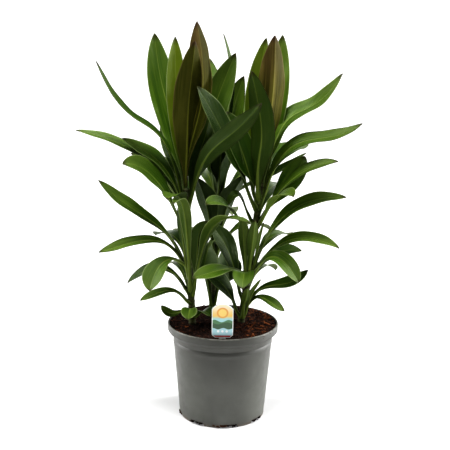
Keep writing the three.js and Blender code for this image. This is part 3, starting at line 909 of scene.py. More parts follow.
printed, tree, sockets = new_material("tag_print", 0.34, Coat_Weight=0.25, Coat_Roughness=0.25)
uv = split(tree, add_node(tree, "ShaderNodeUVMap", uv_map="print").outputs[0])
across, up = uv["X"], uv["Y"]
warm = mix_colour(tree, remap(tree, up, 0.62, 0.95), srgb(236, 196, 92), srgb(238, 226, 190))
cool = mix_colour(tree, remap(tree, up, 0.1, 0.6), srgb(178, 214, 222), srgb(160, 208, 206))
inks = [(disc(tree, across, up, SUN_CENTRE, size), ink) for size, ink in SUN]
inks += [(below_wave(tree, across, up, hill), hill["ink"]) for hill in HILLS]
inks += [(disc(tree, across, up, centre, DOT_SIZE), DOT_INK) for centre in DOT_CENTRES]
inks.append((remap(tree, up, 0.075, 0.06), LINE_INK))
sky = mix_colour(tree, remap(tree, up, 0.55, 0.66), cool, warm)
feed(tree, lay_over(tree, sky, *inks), sockets["Base Color"])
tag = add_piece("plant_tag_card", tag_mesh, [white_card, printed])
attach(tag, "root")
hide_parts("plant_tag")
print("print:", len(tree.nodes), "nodes")

# %% [markdown]
# A ti cane is a slim woody stem, ringed by the scars of old leaves. Up to the crown it tapers a little.
# Its profile is worked out ring by ring: a narrow ridge, then a smooth length. It is spun, then turned to
# the lean of the cane's own middle line, which is the line that the solid has.

# %% Canes
CANE_FOOT_RADIUS = 6.2
CANE_TOP_RADIUS = 5
CANE_FOOT_HEIGHT = 122
SCAR_PITCH = 9.5
SCAR_RISE = 0.55
SCAR_SHAPE = ((0, 0), (0.55, 0.05), (0.8, 0.7), (0.88, 1.0), (0.95, 0.6))
CANE_END = {"narrowing": 0.7, "rise": 1}
CANE_STEPS = 28
CANES = {
    "left": {"low": (-51, -18, 150), "top": (-64, -8, 400)},
    "right": {"low": (29, -8, 150), "top": (61, -10, 411)},
    "back": {"low": (-20, 52, 150), "top": (-9, 50, 402)},
}


def cane_axis(cane, height):
    """Where a cane's middle line is at a height."""
    low, top = Vector(cane["low"]), Vector(cane["top"])
    return low.lerp(top, (height - low.z) / (top.z - low.z))


def cane_mesh(name, cane):
    """A ringed cane, with the height within each ring as an attribute."""
    foot = cane_axis(cane, CANE_FOOT_HEIGHT)
    top = cane_axis(cane, cane["top"][2])
    length = (top - foot).length
    profile = [(0, 0)]
    height = 0.0
    while height < length - SCAR_PITCH:
        radius = CANE_FOOT_RADIUS + (CANE_TOP_RADIUS - CANE_FOOT_RADIUS) * height / length
        for up, out in SCAR_SHAPE:
            profile.append((radius + out * SCAR_RISE, height + up * SCAR_PITCH))
        height += SCAR_PITCH
    end_radius = CANE_TOP_RADIUS * CANE_END["narrowing"]
    profile += [(CANE_TOP_RADIUS, height), (end_radius, length - CANE_END["rise"]), (0, length)]
    bm = bmesh.new()
    spin_profile(bm, profile, CANE_STEPS)
    scar_layer = bm.verts.layers.float.new("scar")
    for vertex in bm.verts:
        vertex[scar_layer] = (vertex.co.z / SCAR_PITCH) % 1.0
    turn = UP.rotation_difference(top - foot).to_matrix().to_4x4()
    bmesh.ops.transform(bm, matrix=Matrix.Translation(foot) @ turn, verts=bm.verts)
    return finish_mesh(bm, name)


cane_meshes = {name: cane_mesh(f"cane_{name}", cane) for name, cane in CANES.items()}
print("canes:", {name: len(mesh.polygons) for name, mesh in cane_meshes.items()})

# %% [markdown]
# The skin of a cane is a dull green-brown with fine cracks along it, and each scar is a darker ring. The
# height within one ring is on the mesh as an attribute, so the dark ring falls exactly on the ridge.

# %% Cane bark
material, tree, sockets = new_material("cane_bark", 0.7, Specular_IOR_Level=0.15)
place = own_place(tree)
scar = attribute(tree, "scar")
ring = calc(tree, "MULTIPLY", remap(tree, scar, 0.62, 0.84), remap(tree, scar, 0.99, 0.9))
colour = lay_over(
    tree,
    mix_colour(tree, mottle(tree, place, 80.0, 0.0, 1.0), srgb(34, 46, 14), srgb(56, 58, 24)),
    (remap(tree, cloud(tree, place, 300.0, 4.0, (1, 1, 0.2)), 0.5, 0.75), srgb(52, 42, 26)),
    (calc(tree, "MULTIPLY", ring, 0.6), srgb(40, 30, 18)),
)
feed(tree, colour, sockets["Base Color"])
add_bump(tree, cloud(tree, place, 420.0, 3.0, (1, 1, 0.15)), sockets, 0.5, 0.6)
for name, mesh in cane_meshes.items():
    piece = add_piece(f"cane_{name}", mesh, [material])
    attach(piece, "root")
print("cane bark:", len(tree.nodes), "nodes")

# %% [markdown]
# Every leaf is described by one row, the same as for its solid: where it grows from, where its tip is, how
# its middle line climbs, arches and bows between them, how wide its blade is and how far it is turned.
# The last word is its tone. Rows are easier to adjust than eighty modelled meshes, and each leaf keeps its
# own place. The rows run up each cane.

# %% Leaf rows
# Tone words. A deep leaf is a deeper green, and the word also goes to leaves in the shade of others, where it
# is painted shade. A dark leaf lies in shadow and gets painted shade.
MID, DEEP_AND_SHADED, DARK_IN_SHADE, LIME, BRONZE, OLIVE = "mid", "deep", "dark", "lime", "bronze", "olive"
LEAVES = {
    "left": [
        (178, -20, -50, 190, 10, 15, 0, 32, 0, DEEP_AND_SHADED),
        (180, -105, -15, 197, 20, -28, 15, 16, -40, MID),
        (188, -57, -80, 194, 16, 14, 0, 28, 0, MID),
        (200, -140, -30, 210, 40, 15, 0, 20, -25, MID),
        (214, -105, 105, 235, 40, 35, 0, 28, 0, MID),
        (214, -26, -38, 350, 110, -20, -20, 32, -40, DEEP_AND_SHADED),
        (216, -165, 5, 230, 55, 45, -5, 24, -30, DEEP_AND_SHADED),
        (222, 41, -98, 361, 152, 6, 0, 36, -8, MID),
        (222, -80, -110, 392, 176, 10, 0, 22, 0, MID),
        (244, -75, -40, 375, 60, -60, 0, 22, 0, DEEP_AND_SHADED),
        (256, -210, -5, 410, 100, -70, 5, 34, -22, MID),
        (258, -210, -20, 290, 80, 20, 0, 28, -26, MID),
        (262, -120, -75, 240, 30, 55, -25, 40, -18, MID),
        (262, -125, 115, 290, 50, 25, 0, 34, 0, DEEP_AND_SHADED),
        (300, -90, 185, 385, 80, 10, 0, 40, 0, MID),
        (324, -165, -50, 445, 60, 5, 0, 52, -35, MID),
        (344, -160, 35, 450, 55, -15, -20, 32, -30, DEEP_AND_SHADED),
        (350, -165, 165, 432, 80, -5, 0, 40, -15, MID),
        (350, -170, 0, 480, 105, -30, -5, 34, -25, MID),
        (352, -90, -100, 398, 40, 10, 0, 38, 0, MID),
        (352, -250, 20, 490, 100, -15, 0, 28, -18, MID),
        (359, -210, -5, 605, 210, -155, 20, 26, -9, OLIVE),
        (362, -95, 55, 530, 90, -80, 10, 46, -20, DEEP_AND_SHADED),
        (366, 55, -105, 550, 130, -85, -20, 35, -60, DARK_IN_SHADE),
        (370, -24, 10, 525, 110, -80, 0, 40, 30, DEEP_AND_SHADED),
        (370, -115, 185, 560, 105, -60, 0, 44, -10, MID),
        (372, 15, 20, 620, 105, -100, 25, 50, 60, MID),
        (372, -120, 45, 650, 165, -130, 15, 50, -40, MID),
        (373, -85, 35, 645, 110, -110, 10, 38, -15, LIME),
    ],
    "right": [
        (174, 40, -45, 240, 60, -50, 0, 16, 0, MID),
        (176, 62, -30, 250, 55, -30, 0, 18, 0, MID),
        (176, -30, -20, 262, 60, -25, 0, 34, -50, DEEP_AND_SHADED),
        (186, 145, 15, 255, 75, -45, -15, 28, 25, DEEP_AND_SHADED),
        (192, 105, -15, 190, 40, 15, 0, 22, 28, MID),
        (206, -22, -8, 338, 90, -30, 0, 38, -50, DEEP_AND_SHADED),
        (210, 95, 105, 230, 45, 35, 0, 28, 0, MID),
        (232, 30, -105, 255, 35, 30, 0, 38, 0, MID),
        (236, 125, -50, 250, 60, 60, 5, 34, 30, MID),
        (236, 30, -45, 360, 60, -60, 0, 20, 0, MID),
        (238, 65, -20, 345, 60, -60, 0, 20, 10, MID),
        (240, 135, 30, 285, 40, 10, 5, 28, 25, DEEP_AND_SHADED),
        (240, 195, -10, 300, 75, 35, 5, 32, 22, MID),
        (240, 50, -45, 355, 60, -60, 0, 20, 0, MID),
        (246, 205, 5, 385, 125, 5, -15, 34, 25, MID),
        (250, -50, -80, 265, 25, 10, 15, 32, -25, MID),
        (250, 125, 120, 290, 50, 30, 0, 34, 0, MID),
        (300, 105, 190, 375, 80, 15, 0, 40, 0, DEEP_AND_SHADED),
        (316, -30, -75, 385, 30, 15, 0, 34, -22, MID),
        (330, 110, -75, 400, 35, 15, 5, 40, 15, MID),
        (332, 185, -25, 450, 75, -5, -5, 30, 25, MID),
        (336, 135, 30, 450, 45, -65, -5, 42, 40, MID),
        (340, 5, -30, 375, 30, 45, 0, 20, -20, MID),
        (360, 150, 155, 455, 115, -5, 0, 40, 15, MID),
        (362, -45, -55, 570, 70, -65, -5, 46, -65, DARK_IN_SHADE),
        (366, 225, 0, 510, 165, -55, 0, 36, 25, MID),
        (374, 190, 10, 590, 220, -115, 35, 42, 25, MID),
        (376, 2, -15, 528, 80, -60, -5, 48, -58, DEEP_AND_SHADED),
        (377, 80, 185, 550, 100, -60, 0, 44, 10, MID),
        (380, 40, -50, 595, 120, -140, 30, 44, 0, DEEP_AND_SHADED),
        (381, 65, 30, 645, 96, -150, 25, 42, 0, LIME),
        (383, 93, 46, 650, 120, -125, -5, 46, 25, MID),
    ],
    "back": [
        (174, -34, 18, 258, 55, -25, 0, 11, 0, MID),
        (178, 4, 24, 262, 55, -25, 0, 11, 0, MID),
        (215, -15, 170, 215, 40, 40, 0, 28, 0, MID),
        (255, -95, 190, 275, 45, 35, 0, 34, 0, MID),
        (262, -45, 0, 415, 110, -40, 0, 44, 0, DEEP_AND_SHADED),
        (270, 85, 175, 290, 45, 35, 0, 34, 0, MID),
        (270, 30, 0, 420, 110, -40, 0, 44, 0, DEEP_AND_SHADED),
        (290, 12, 6, 236, 4, 56, 0, 48, 12, DEEP_AND_SHADED),
        (290, 15, 230, 305, 60, 40, 0, 38, 0, MID),
        (297, -36, 0, 246, 4, 56, 0, 50, -12, DEEP_AND_SHADED),
        (325, -45, 240, 390, 65, 20, 0, 40, 0, MID),
        (345, 95, 225, 400, 70, 15, 0, 40, 10, MID),
        (360, 140, 70, 450, 40, -50, -5, 24, 15, DEEP_AND_SHADED),
        (364, 26, 15, 492, 85, -60, 0, 48, 20, DEEP_AND_SHADED),
        (370, 45, 205, 530, 95, -40, 0, 44, 10, MID),
        (372, -85, 205, 485, 80, -10, 0, 42, -10, MID),
        (372, -5, 15, 515, 90, -70, 0, 46, 0, DEEP_AND_SHADED),
        (376, -35, 45, 500, 90, -70, 0, 40, -30, DEEP_AND_SHADED),
        (376, -30, 165, 605, 100, -90, 0, 46, 0, MID),
        (378, 30, 70, 580, 100, -80, 25, 46, 40, MID),
        (380, -5, 75, 650, 120, -105, -34, 24, 85, DARK_IN_SHADE),
    ],
}
YOUNG_LEAVES = {
    "left": [
        (402, -50, -40, 640, 160, -115, -5, 52, 0, DEEP_AND_SHADED),
        (402, -49, 10, 670, 120, -160, -50, 60, 0, BRONZE),
    ],
    "right": [
        (412, 75, -45, 650, 100, -145, 10, 54, 0, BRONZE),
    ],
}
print("leaves:", {name: len(rows) for name, rows in LEAVES.items()})

# %% [markdown]
# The middle line of a leaf is a Bezier curve: it leaves the cane steeply, then arches out to the tip.
# Steps along it are even in length, so the curve is measured first. At each step a small frame tells
# which way is along, across and out of the face, and the turn of the leaf twists that frame.

# %% Middle line of a leaf
ROOT_OFFSET = 5.6
LEAN_OUT = 9
LOWER_PULL = 0.14
UPPER_PULL = 0.42
TURN_ALONG = (0.05, 0.45)
LINE_SAMPLES = 60


class LeafLine:
    """The middle line of one leaf, from its row."""

    def __init__(self, cane, row, young):
        height, x, y, z, climb, arch, bow = row[:7]
        tip, root = Vector((x, y, z)), cane_axis(cane, height)
        reach = tip - root
        reach.z = 0
        outward = reach.normalized()
        self.side = UP.cross(outward)
        self.turn = math.radians(row[8])
        if not young:
            root += outward * ROOT_OFFSET
        lower = root + reach * LOWER_PULL + UP * climb + outward * (0 if young else LEAN_OUT)
        upper = tip - reach * UPPER_PULL + UP * arch + self.side * bow
        self.points = (root, lower, upper, tip)
        self.measure()

    def point(self, t):
        a, b, c, d = self.points
        s = 1 - t
        return a * s**3 + b * (3 * s * s * t) + c * (3 * s * t * t) + d * t**3

    def direction(self, t):
        a, b, c, d = self.points
        s = 1 - t
        return ((b - a) * s * s + (c - b) * (2 * s * t) + (d - c) * t * t).normalized()

    def measure(self):
        """Notes how long the line is up to each of its samples."""
        places = [self.point(i / LINE_SAMPLES) for i in range(LINE_SAMPLES + 1)]
        self.lengths = [0.0]
        for here, there in zip(places, places[1:]):
            self.lengths.append(self.lengths[-1] + (there - here).length)
        self.length = self.lengths[-1]

    def frame(self, share):
        """Place, across and face of the leaf at a share of its length."""
        wanted = share * self.length
        i = 0
        while i < LINE_SAMPLES - 1 and self.lengths[i + 1] < wanted:
            i += 1
        rest = (wanted - self.lengths[i]) / (self.lengths[i + 1] - self.lengths[i])
        t = (i + rest) / LINE_SAMPLES
        along = self.direction(t)
        across = (self.side - along * self.side.dot(along)).normalized()
        face = along.cross(across)
        twist = Quaternion(along, self.turn * smooth(share, *TURN_ALONG))
        return self.point(t), twist @ across, twist @ face


longest = max((LeafLine(CANES[n], row, False).length, n) for n, rows in LEAVES.items() for row in rows)
print(f"longest leaf: {longest[0]:.0f} mm, on the {longest[1]} cane")

# %% [markdown]
# Across, a ti leaf changes as it goes out. At its root it wraps the cane as a sheath, then it narrows to a
# stalk with a channel on top, and then it opens to a lance-shaped blade. The blade is a shallow V with a
# sunken midrib and softly rolled edges that wave a little. Each leaf starts as a flat grid, and these
# few rules bend it. The grid is finest at the midrib, at the edges and towards the tip.

# %% Section of a leaf
STALK_SHARE = (0.24, 0.05)
STALK_HEIGHTS = (340, 385)
STALK_HALF_WIDTH = 4.2
BLADE_RISE = (1.35, 1.05)
BLADE_TAPER = 0.8
TIP_HALF_WIDTH = 0.25
OPENING = (0.12, 0.4)
STALK_FOLD = math.radians(42)
BLADE_FOLD = math.radians(18)
YOUNG_FOLD = math.radians(24)
BLADE_CURL = 1.45
YOUNG_CURL = 1.9
SHEATH_WRAP = math.radians(118)
SHEATH_SHARE = 0.11
EDGE_ROLL = 0.07
EDGE_WAVE = 0.045
WAVE_LENGTH = 58
WAVE_SHIFT = 1.3
WAVE_FADE = (0.85, 1.0)
MIDRIB_DEPTH = 0.5
MIDRIB_EASE = 0.6
MIDRIB_REACH = 1.1
TIP_EASE = 1.25


def blade_shape(along, rise):
    return along**rise * (1 - along) ** BLADE_TAPER


def leaf_half_width(share, height, width):
    """Half the width at a share of the length. Leaves near the top of a cane have hardly any stalk."""
    high = smooth(height, *STALK_HEIGHTS)
    stalk_share, rise = mix(*STALK_SHARE, high), mix(*BLADE_RISE, high)
    along = min(max((share - stalk_share) / (1 - stalk_share), 0.0), 1.0)
    widest = rise / (rise + BLADE_TAPER)
    blade = width / 2 * blade_shape(along, rise) / blade_shape(widest, rise)
    return max(math.hypot(blade, STALK_HALF_WIDTH * math.sqrt(1 - along)), TIP_HALF_WIDTH)


def bend_across(across, share, half, length, young, phase):
    """How far out and up a point of the upper face goes, in mm, at -1 to 1 across."""
    open_ = smooth(share, *OPENING)
    fold = mix(STALK_FOLD, YOUNG_FOLD if young else BLADE_FOLD, open_)
    away = abs(across)
    out = half * math.cos(fold) * across
    curl = mix(1.0, YOUNG_CURL if young else BLADE_CURL, open_)
    up = half * (math.sin(fold) * away**curl - EDGE_ROLL * open_ * away**3)
    channel = math.exp(-((half * across / MIDRIB_REACH) ** 2))
    up -= MIDRIB_DEPTH * open_ * (1 - MIDRIB_EASE * share) * channel
    wave = math.sin(2 * math.pi * share * length / WAVE_LENGTH + phase + (WAVE_SHIFT if across > 0 else 0))
    up += EDGE_WAVE * half * away**2.5 * wave * open_ * (1 - smooth(share, *WAVE_FADE))
    if not young:
        wrap = SHEATH_WRAP * across
        held = 1 - smooth(share, 0.0, SHEATH_SHARE)
        out = mix(out, ROOT_OFFSET * math.sin(wrap), held)
        up = mix(up, ROOT_OFFSET * (1 - math.cos(wrap)), held)
    return out, up


print(f"a 46 mm blade is {2 * leaf_half_width(0.7, 300, 46):.1f} mm wide at 70 % of its length")

# %% [markdown]
# The grid gives the upper face only, and a Solidify modifier will add the underside. How thick it makes
# the leaf changes over it: a stalk is two and a half millimetres thick in its middle, a midrib a little
# over one, and an edge less than half of one. So the underside gets its raised rib without any modelling.

# %% Thickness of a leaf
FULL_THICKNESS = 2.6
RIB_THICKNESS = 1.3
EDGE_THICKNESS = 0.4
STALK_EDGE = 0.9
SHEATH_THICKNESS = 0.7
STALK_FADE = (0.1, 0.5)
RIB_SPREAD = (1.5, 3.0)


def leaf_thickness(across, share, half):
    """How thick a leaf is at a point, in mm, at -1 to 1 across."""
    stalk = 1 - smooth(share, *STALK_FADE)
    edge = mix(EDGE_THICKNESS, STALK_EDGE, stalk)
    rib = mix(RIB_THICKNESS, FULL_THICKNESS, stalk)
    near = math.exp(-((across * half / mix(*RIB_SPREAD, stalk)) ** 2))
    return mix(edge + (rib - edge) * near, SHEATH_THICKNESS, 1 - smooth(share, 0.0, SHEATH_SHARE))


measured = [round(leaf_thickness(across, 0.6, 23), 2) for across in (0, 0.5, 1)]
print("a 46 mm blade from its midrib to its edge, in mm thick:", measured)

# %% [markdown]
# Each leaf is a flat grid from one operator, and every point of it is moved to where the rules above put
# it. Three vectors travel with the mesh as attributes, because a pattern has to follow each leaf: where a
# point is on its leaf, how large the leaf is there, and the leaf's tone, as how lime and how deep it is
# and how much painted shade darkens it. Each leaf also draws a little of its own tone and the start of
# its waves.

# %% Grow one leaf
ACROSS_STEPS = 18
ALONG_STEPS = 40
# the third number of a tone is painted shade: the dark tone is for leaves that lie in shadow, and olive gets
# a little
TONES = {
    MID: (0.12, 0.12, 0.0),
    DEEP_AND_SHADED: (0.0, 0.75, 0.0),
    DARK_IN_SHADE: (0.0, 0.85, 0.55),
    LIME: (0.8, 0.0, 0.0),
    BRONZE: (0.0, 0.05, 0.0),
    OLIVE: (0.0, 0.5, 0.1),
}
LIME_DRAW = (-0.08, 0.12)
DEEP_DRAW = (-0.12, 0.15)


def leaf_layers(bm):
    """The three vectors of each point by name, and the layer for its thickness."""
    layers = bm.verts.layers
    names = ("spot", "size", "tone")
    return {name: layers.float_vector.new(name) for name in names}, layers.deform.new()


def grow_leaf(bm, layers, thickness, cane, row, young, draw):
    """Adds one leaf's upper face to a bmesh, bent from a flat grid."""
    line = LeafLine(cane, row, young)
    width, tone = row[7], row[9]
    phase, seed = draw.uniform(0, 2 * math.pi), draw.uniform(0, 10)
    lime, deep, painted_shade = TONES[tone]
    lime += draw.uniform(*LIME_DRAW)
    deep += draw.uniform(*DEEP_DRAW)
    made = bmesh.ops.create_grid(bm, x_segments=ACROSS_STEPS, y_segments=ALONG_STEPS, size=1.0)["verts"]
    frames = {}
    for vertex in made:
        x, y = -vertex.co.x, (vertex.co.y + 1) / 2
        across = math.copysign(smooth(abs(x), 0, 1), x)
        step = round(y * ALONG_STEPS)
        share = 1 - (1 - y) ** TIP_EASE
        if step not in frames:
            frames[step] = (*line.frame(share), leaf_half_width(share, row[0], width))
        place, sideways, face, half = frames[step]
        out, up = bend_across(across, share, half, line.length, young, phase)
        vertex.co = place + sideways * out + face * up
        vertex[layers["spot"]] = (across, share, seed)
        vertex[layers["size"]] = (across * half * MM, share * line.length * MM, half * MM)
        vertex[layers["tone"]] = (lime, deep, painted_shade)
        vertex[thickness][0] = leaf_thickness(across, share, half) / FULL_THICKNESS


print(f"one leaf: {ACROSS_STEPS * ALONG_STEPS} faces before it gets its thickness")

# %% [markdown]
# All leaves of one kind on a cane share a mesh. The Solidify modifier reads how thick each point is from a
# vertex group, and gives the underside the next material in the list. It stays live, so the thickness can
# still be changed by one number.

# %% Leaves of one cane as a piece
def leaves_piece(name, cane, rows, young, materials):
    """All leaves of one kind on a cane, as one piece with live thickness."""
    draw = random.Random(name)
    bm = bmesh.new()
    layers, thickness = leaf_layers(bm)
    for row in rows:
        grow_leaf(bm, layers, thickness, cane, row, young, draw)
    piece = add_piece(name, finish_mesh(bm, name), materials)
    piece.vertex_groups.new(name="thickness")
    shell = piece.modifiers.new("thickness", "SOLIDIFY")
    shell.thickness = FULL_THICKNESS * MM
    shell.offset = -1
    shell.vertex_group = "thickness"
    shell.material_offset = 1
    return piece


print(f"a point whose weight is 1 gets {FULL_THICKNESS} mm of thickness")

# %% [markdown]
# All leaf finishes share one pattern, so it is a node group. From a point's place on its leaf it gives the
# midrib, the fine veins that slant away from it, streaks along the blade that are broad bands with finer
# lines in them, which are ridges in the bump and painted sheen in the colour, the edge, the brown tip and
# the stalk. It also passes on how far along and across the point is, and a chance from 0 to 1 for each
# leaf. Veins are a millimetre or so apart at real size, on a small leaf and on a large one, so they are
# worked out in metres and not in shares of the width.

# %% Blade pattern group
VEIN_PITCH = 1.25
VEIN_SLANT = 0.16
VEIN_WAVE = 0.22
BAND_STRETCH, BAND_SHARE = (120, 5, 3), 0.55
LINE_STRETCH, LINE_SHARE = (420, 9, 3), 0.45
MARKS = ("Midrib", "Veins", "Streaks", "Edge", "Tip", "Stalk", "Along", "Across", "Chance")

BLADE, given, wanted = new_group(
    "blade_pattern", {"Spot": "Vector", "Size": "Vector"}, {name: "Float" for name in MARKS}
)
spot, size = split(BLADE, given["Spot"]), split(BLADE, given["Size"])
share, seed = spot["Y"], spot["Z"]
signed, along, half = size["X"], size["Y"], size["Z"]
away = calc(BLADE, "ABSOLUTE", signed)

slanted = calc(BLADE, "SUBTRACT", away, calc(BLADE, "MULTIPLY", along, VEIN_SLANT))
vein_place = calc(BLADE, "DIVIDE", slanted, VEIN_PITCH * MM)
wave = calc(BLADE, "SINE", calc(BLADE, "MULTIPLY", vein_place, 2 * math.pi))
uneven = join(BLADE, calc(BLADE, "MULTIPLY", vein_place, 0.37), along, seed)
veins = calc(BLADE, "MULTIPLY_ADD", wave, VEIN_WAVE, cloud(BLADE, uneven, 1.0, 2.0, (1, 14, 3)))

lengthwise = join(BLADE, signed, along, seed)
bands = calc(BLADE, "MULTIPLY", cloud(BLADE, lengthwise, 1.0, 2.0, BAND_STRETCH), BAND_SHARE)
lines = calc(BLADE, "MULTIPLY", cloud(BLADE, lengthwise, 1.0, 2.0, LINE_STRETCH), LINE_SHARE)

rib_width = remap(BLADE, share, 0.1, 0.95, 1.5 * MM, 0.35 * MM)
rib = remap(BLADE, calc(BLADE, "DIVIDE", away, rib_width), 1.6, 0.7)
found = {
    "Midrib": calc(BLADE, "MULTIPLY", rib, remap(BLADE, share, 0.25, 0.9, 0.75, 0.3)),
    "Veins": veins,
    "Streaks": calc(BLADE, "ADD", bands, lines),
    "Edge": band(BLADE, calc(BLADE, "SUBTRACT", half, away), 1.9, 0.3),
    "Tip": remap(BLADE, share, 0.94, 0.99),
    "Stalk": remap(BLADE, share, 0.42, 0.12),
    "Along": share,
    "Across": spot["X"],
    "Chance": calc(BLADE, "FRACT", calc(BLADE, "MULTIPLY", seed, 3.7)),
}
for name in MARKS:
    feed(BLADE, found[name], wanted[name])


def blade_marks(tree):
    """The pattern group placed in a material, reading the leaf's own attributes."""
    spot, size = attribute(tree, "spot", "Vector"), attribute(tree, "size", "Vector")
    return use_group(tree, BLADE, {"Spot": spot, "Size": size})


print("group:", BLADE.name, len(BLADE.nodes), "nodes")

# %% [markdown]
# The heart of the plant lies in the shade of the outer leaves, and that shade is painted into the leaves'
# colour there as a darker green. Where that is doesn't depend on a leaf but on the place in the plant, so
# this mask is worked out from Object coordinates, as an upright round room with soft walls.

# %% Painted shade in the heart of the plant
# painted shade: the tint that leaves lying in shadow are multiplied by
PAINTED_SHADE_TINT = (0.42, 0.48, 0.36, 1)
SHADE_CENTRE = (-8, 35)
SHADE_REACH = (115, 45)
SHADE_HEIGHTS = (560, 420)


def painted_heart_shade(tree, place):
    """1 in the heart of the plant, where the outer leaves cast shade that is painted on as a darker colour,
    and 0 outside it.
    """
    centre = (SHADE_CENTRE[0] * MM, SHADE_CENTRE[1] * MM, 0)
    level = vector_calc(tree, "MULTIPLY", vector_calc(tree, "SUBTRACT", place, centre), (1, 1, 0))
    near = band(tree, vector_calc(tree, "LENGTH", level), *SHADE_REACH)
    return calc(tree, "MULTIPLY", near, band(tree, split(tree, place)["Z"], *SHADE_HEIGHTS))


print(f"shade: full within {SHADE_REACH[1]} mm of {SHADE_CENTRE}, and below {SHADE_HEIGHTS[1]} mm")

# %% [markdown]
# A leaf's colour is laid on in the order in which one would paint it: a base with lighter streaks, which
# are painted sheen along its ridges, paler towards the end, which on green leaves is painted greyish sheen
# and on bronze ones their own pinkish tip, then the leaf's own tone, the veins, yellow-green at the stalk
# and along the midrib, an edge that is dark on some leaves and on others pale as a painted highlight where
# the edge catches the light, and a brown tip. Last, painted shade darkens leaves that lie in shadow and
# those in the heart of the plant. The gloss is tinted, because the wax lets the colour through. One
# function makes all four leaf materials, and their tones set them apart.

# %% Leaf material
WAX = (0.8, 1.0, 0.5, 1)
WARM_WAX = (1.0, 0.86, 0.5, 1)
FINISHES = {
    "top": {"roughness": (0.3, 0.4), "level": 0.24, "tint": WAX, "veins": 0.6},
    "underside": {"roughness": (0.5, 0.62), "level": 0.15, "tint": WAX, "veins": 0.5},
    "bronze": {"roughness": (0.52, 0.64), "level": 0.1, "tint": WARM_WAX, "veins": 0.6},
}
ROLLED_EDGE = (-0.1, 0.3)


def leaf_material(name, tones, finish, rolled_half=0):
    """A leaf's material from its tones by name. On a bronze leaf 1 or -1 says which half was rolled in."""
    material, tree, sockets = new_material(
        name, finish["roughness"][0], Specular_IOR_Level=finish["level"], Specular_Tint=finish["tint"]
    )
    marks = blade_marks(tree)
    lime, deep, painted_shade = split(tree, attribute(tree, "tone", "Vector"))
    place = own_place(tree)
    # the edge colour: the dark edge on some leaves, and on others a pale painted highlight where the edge
    # catches light
    margin = mix_colour(tree, remap(tree, marks["Chance"], 0.35, 0.5), tones["edge"], tones["margin"])
    layers = [
        # painted sheen: the lighter colour laid along the streaks
        (remap(tree, marks["Streaks"], 0.42, 0.59), tones["light"]),
        # paler towards the end: painted greyish sheen on green leaves, and the leaf's own pinkish tip on
        # bronze ones
        (remap(tree, marks["Along"], 0.5, 1.0, 0.0, 0.85), tones["end"]),
        (calc(tree, "MAXIMUM", deep, 0.0), tones["deep"]),
        (calc(tree, "MAXIMUM", lime, 0.0), tones["lime"]),
    ]
    if rolled_half:
        inner, outer = (rolled_half * across for across in ROLLED_EDGE)
        layers.append((remap(tree, marks["Across"], inner, outer, 0.0, 0.65), tones["rolled"]))
    layers += [
        (mottle(tree, place, 16.0, 0.0, 0.35), tones["deep"]),
        (remap(tree, marks["Veins"], 0.45, 0.8, 0.0, 0.2), tones["lime"]),
        (calc(tree, "MULTIPLY", marks["Stalk"], 0.55), tones["stalk"]),
        (marks["Midrib"], tones["rib"]),
        # the edge: dark on some leaves, a painted highlight on others
        (calc(tree, "MULTIPLY", marks["Edge"], 0.8), margin),
        (calc(tree, "MULTIPLY", marks["Tip"], 0.85), tones["tip"]),
    ]
    colour = lay_over(tree, tones["base"], *layers)
    # painted shade: leaves that lie in shadow and those in the heart are multiplied by a darker tint
    painted_shade_mask = calc(tree, "MAXIMUM", painted_shade, painted_heart_shade(tree, place))
    feed(tree, mix_colour(tree, painted_shade_mask, colour, PAINTED_SHADE_TINT, "MULTIPLY"), sockets["Base Color"])
    feed(tree, mottle(tree, place, 120.0, *finish["roughness"]), sockets["Roughness"])
    relief = calc(tree, "MULTIPLY_ADD", marks["Streaks"], 0.8, marks["Veins"])
    add_bump(tree, relief, sockets, finish["veins"], 0.6)
    return material


print("kinds of leaf finish:", list(FINISHES))

# %% [markdown]
# A green leaf is deep and glossy on top, where its wax is. Below, the same leaf is paler and duller. That
# is why the two faces have a material each.

# %% Green leaf finish
# light is painted sheen in the streaks, end is painted greyish sheen on the outer half, and the pale margin
# is a painted highlight on the edge
GREEN_TOP = paints(
    base=(36, 70, 8), light=(80, 110, 30), deep=(24, 52, 6), lime=(92, 106, 18), end=(76, 96, 40),
    stalk=(70, 84, 26), rib=(128, 142, 66), margin=(122, 136, 84), edge=(28, 30, 6), tip=(34, 26, 10),
)
GREEN_UNDER = paints(
    base=(52, 76, 18), light=(88, 106, 44), deep=(32, 54, 10), lime=(84, 94, 20), end=(78, 92, 42),
    stalk=(58, 72, 18), rib=(112, 126, 54), margin=(112, 124, 76), edge=(38, 40, 8), tip=(40, 32, 14),
)
leaf_top = leaf_material("leaf_top", GREEN_TOP, FINISHES["top"])
leaf_under = leaf_material("leaf_underside", GREEN_UNDER, FINISHES["underside"])
print("leaf finishes:", leaf_top.name, leaf_under.name)

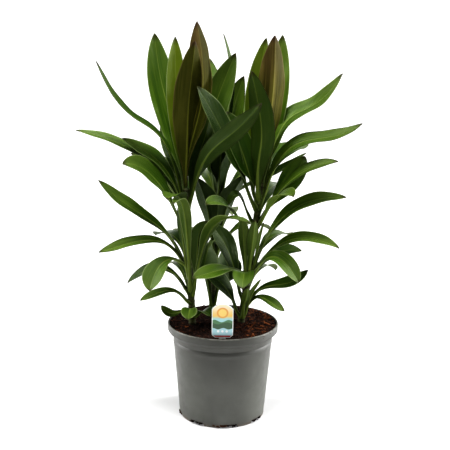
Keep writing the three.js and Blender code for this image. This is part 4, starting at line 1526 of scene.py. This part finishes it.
# %% [markdown]
# The youngest leaves of this plant unroll bronze and turn green later. They use the same pattern with
# other tones. Neither face has its wax yet, so both are dull, and the half that lay inside while the
# leaf was rolled has had less light, so it is darker and greener.

# %% Bronze leaf finish
# light is painted sheen in the streaks, end is the young leaf's own pinkish tip, and the pale margin is a
# painted highlight on the edge
BRONZE_TOP = paints(
    base=(42, 42, 4), light=(98, 90, 36), deep=(40, 42, 4), lime=(76, 82, 16), end=(88, 64, 42),
    stalk=(52, 60, 8), rib=(116, 118, 44), margin=(92, 82, 46), edge=(36, 26, 8), tip=(44, 26, 20),
    rolled=(36, 44, 4),
)
BRONZE_UNDER = paints(
    base=(60, 56, 8), light=(140, 130, 60), deep=(42, 48, 4), lime=(70, 78, 16), end=(88, 64, 42),
    stalk=(52, 58, 8), rib=(116, 118, 44), margin=(92, 82, 46), edge=(38, 26, 10), tip=(44, 26, 20),
    rolled=(54, 54, 14),
)
bronze_top = leaf_material("bronze_leaf_top", BRONZE_TOP, FINISHES["bronze"], -1)
bronze_under = leaf_material("bronze_leaf_underside", BRONZE_UNDER, FINISHES["bronze"], 1)
print("bronze finishes:", bronze_top.name, bronze_under.name)

# %% [markdown]
# On the real plant every leaf is joined to its cane, and nobody lifts one off. So all green leaves of a
# cane are one piece, in the place of the cane's solid, and its bronze leaves are another, because their
# colour is another. Each piece draws its small differences from a seed of its own, which is its name.

# %% Grow the leaves
for name, rows in LEAVES.items():
    piece = leaves_piece(f"leaves_{name}", CANES[name], rows, False, [leaf_top, leaf_under])
    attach(piece, "root")
    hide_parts(f"leafy_stem_{name}")
    print(f"{piece.name}: {len(rows)} leaves, {len(piece.data.polygons)} faces on top")
for name, rows in YOUNG_LEAVES.items():
    piece = leaves_piece(f"bronze_leaves_{name}", CANES[name], rows, True, [bronze_top, bronze_under])
    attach(piece, "root")
    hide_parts(f"young_leaves_{name}")
    print(f"{piece.name}: {len(rows)} leaves")

# %% [markdown]
# Last, the view layer is brought up to date.

# %% End
bpy.context.view_layer.update()
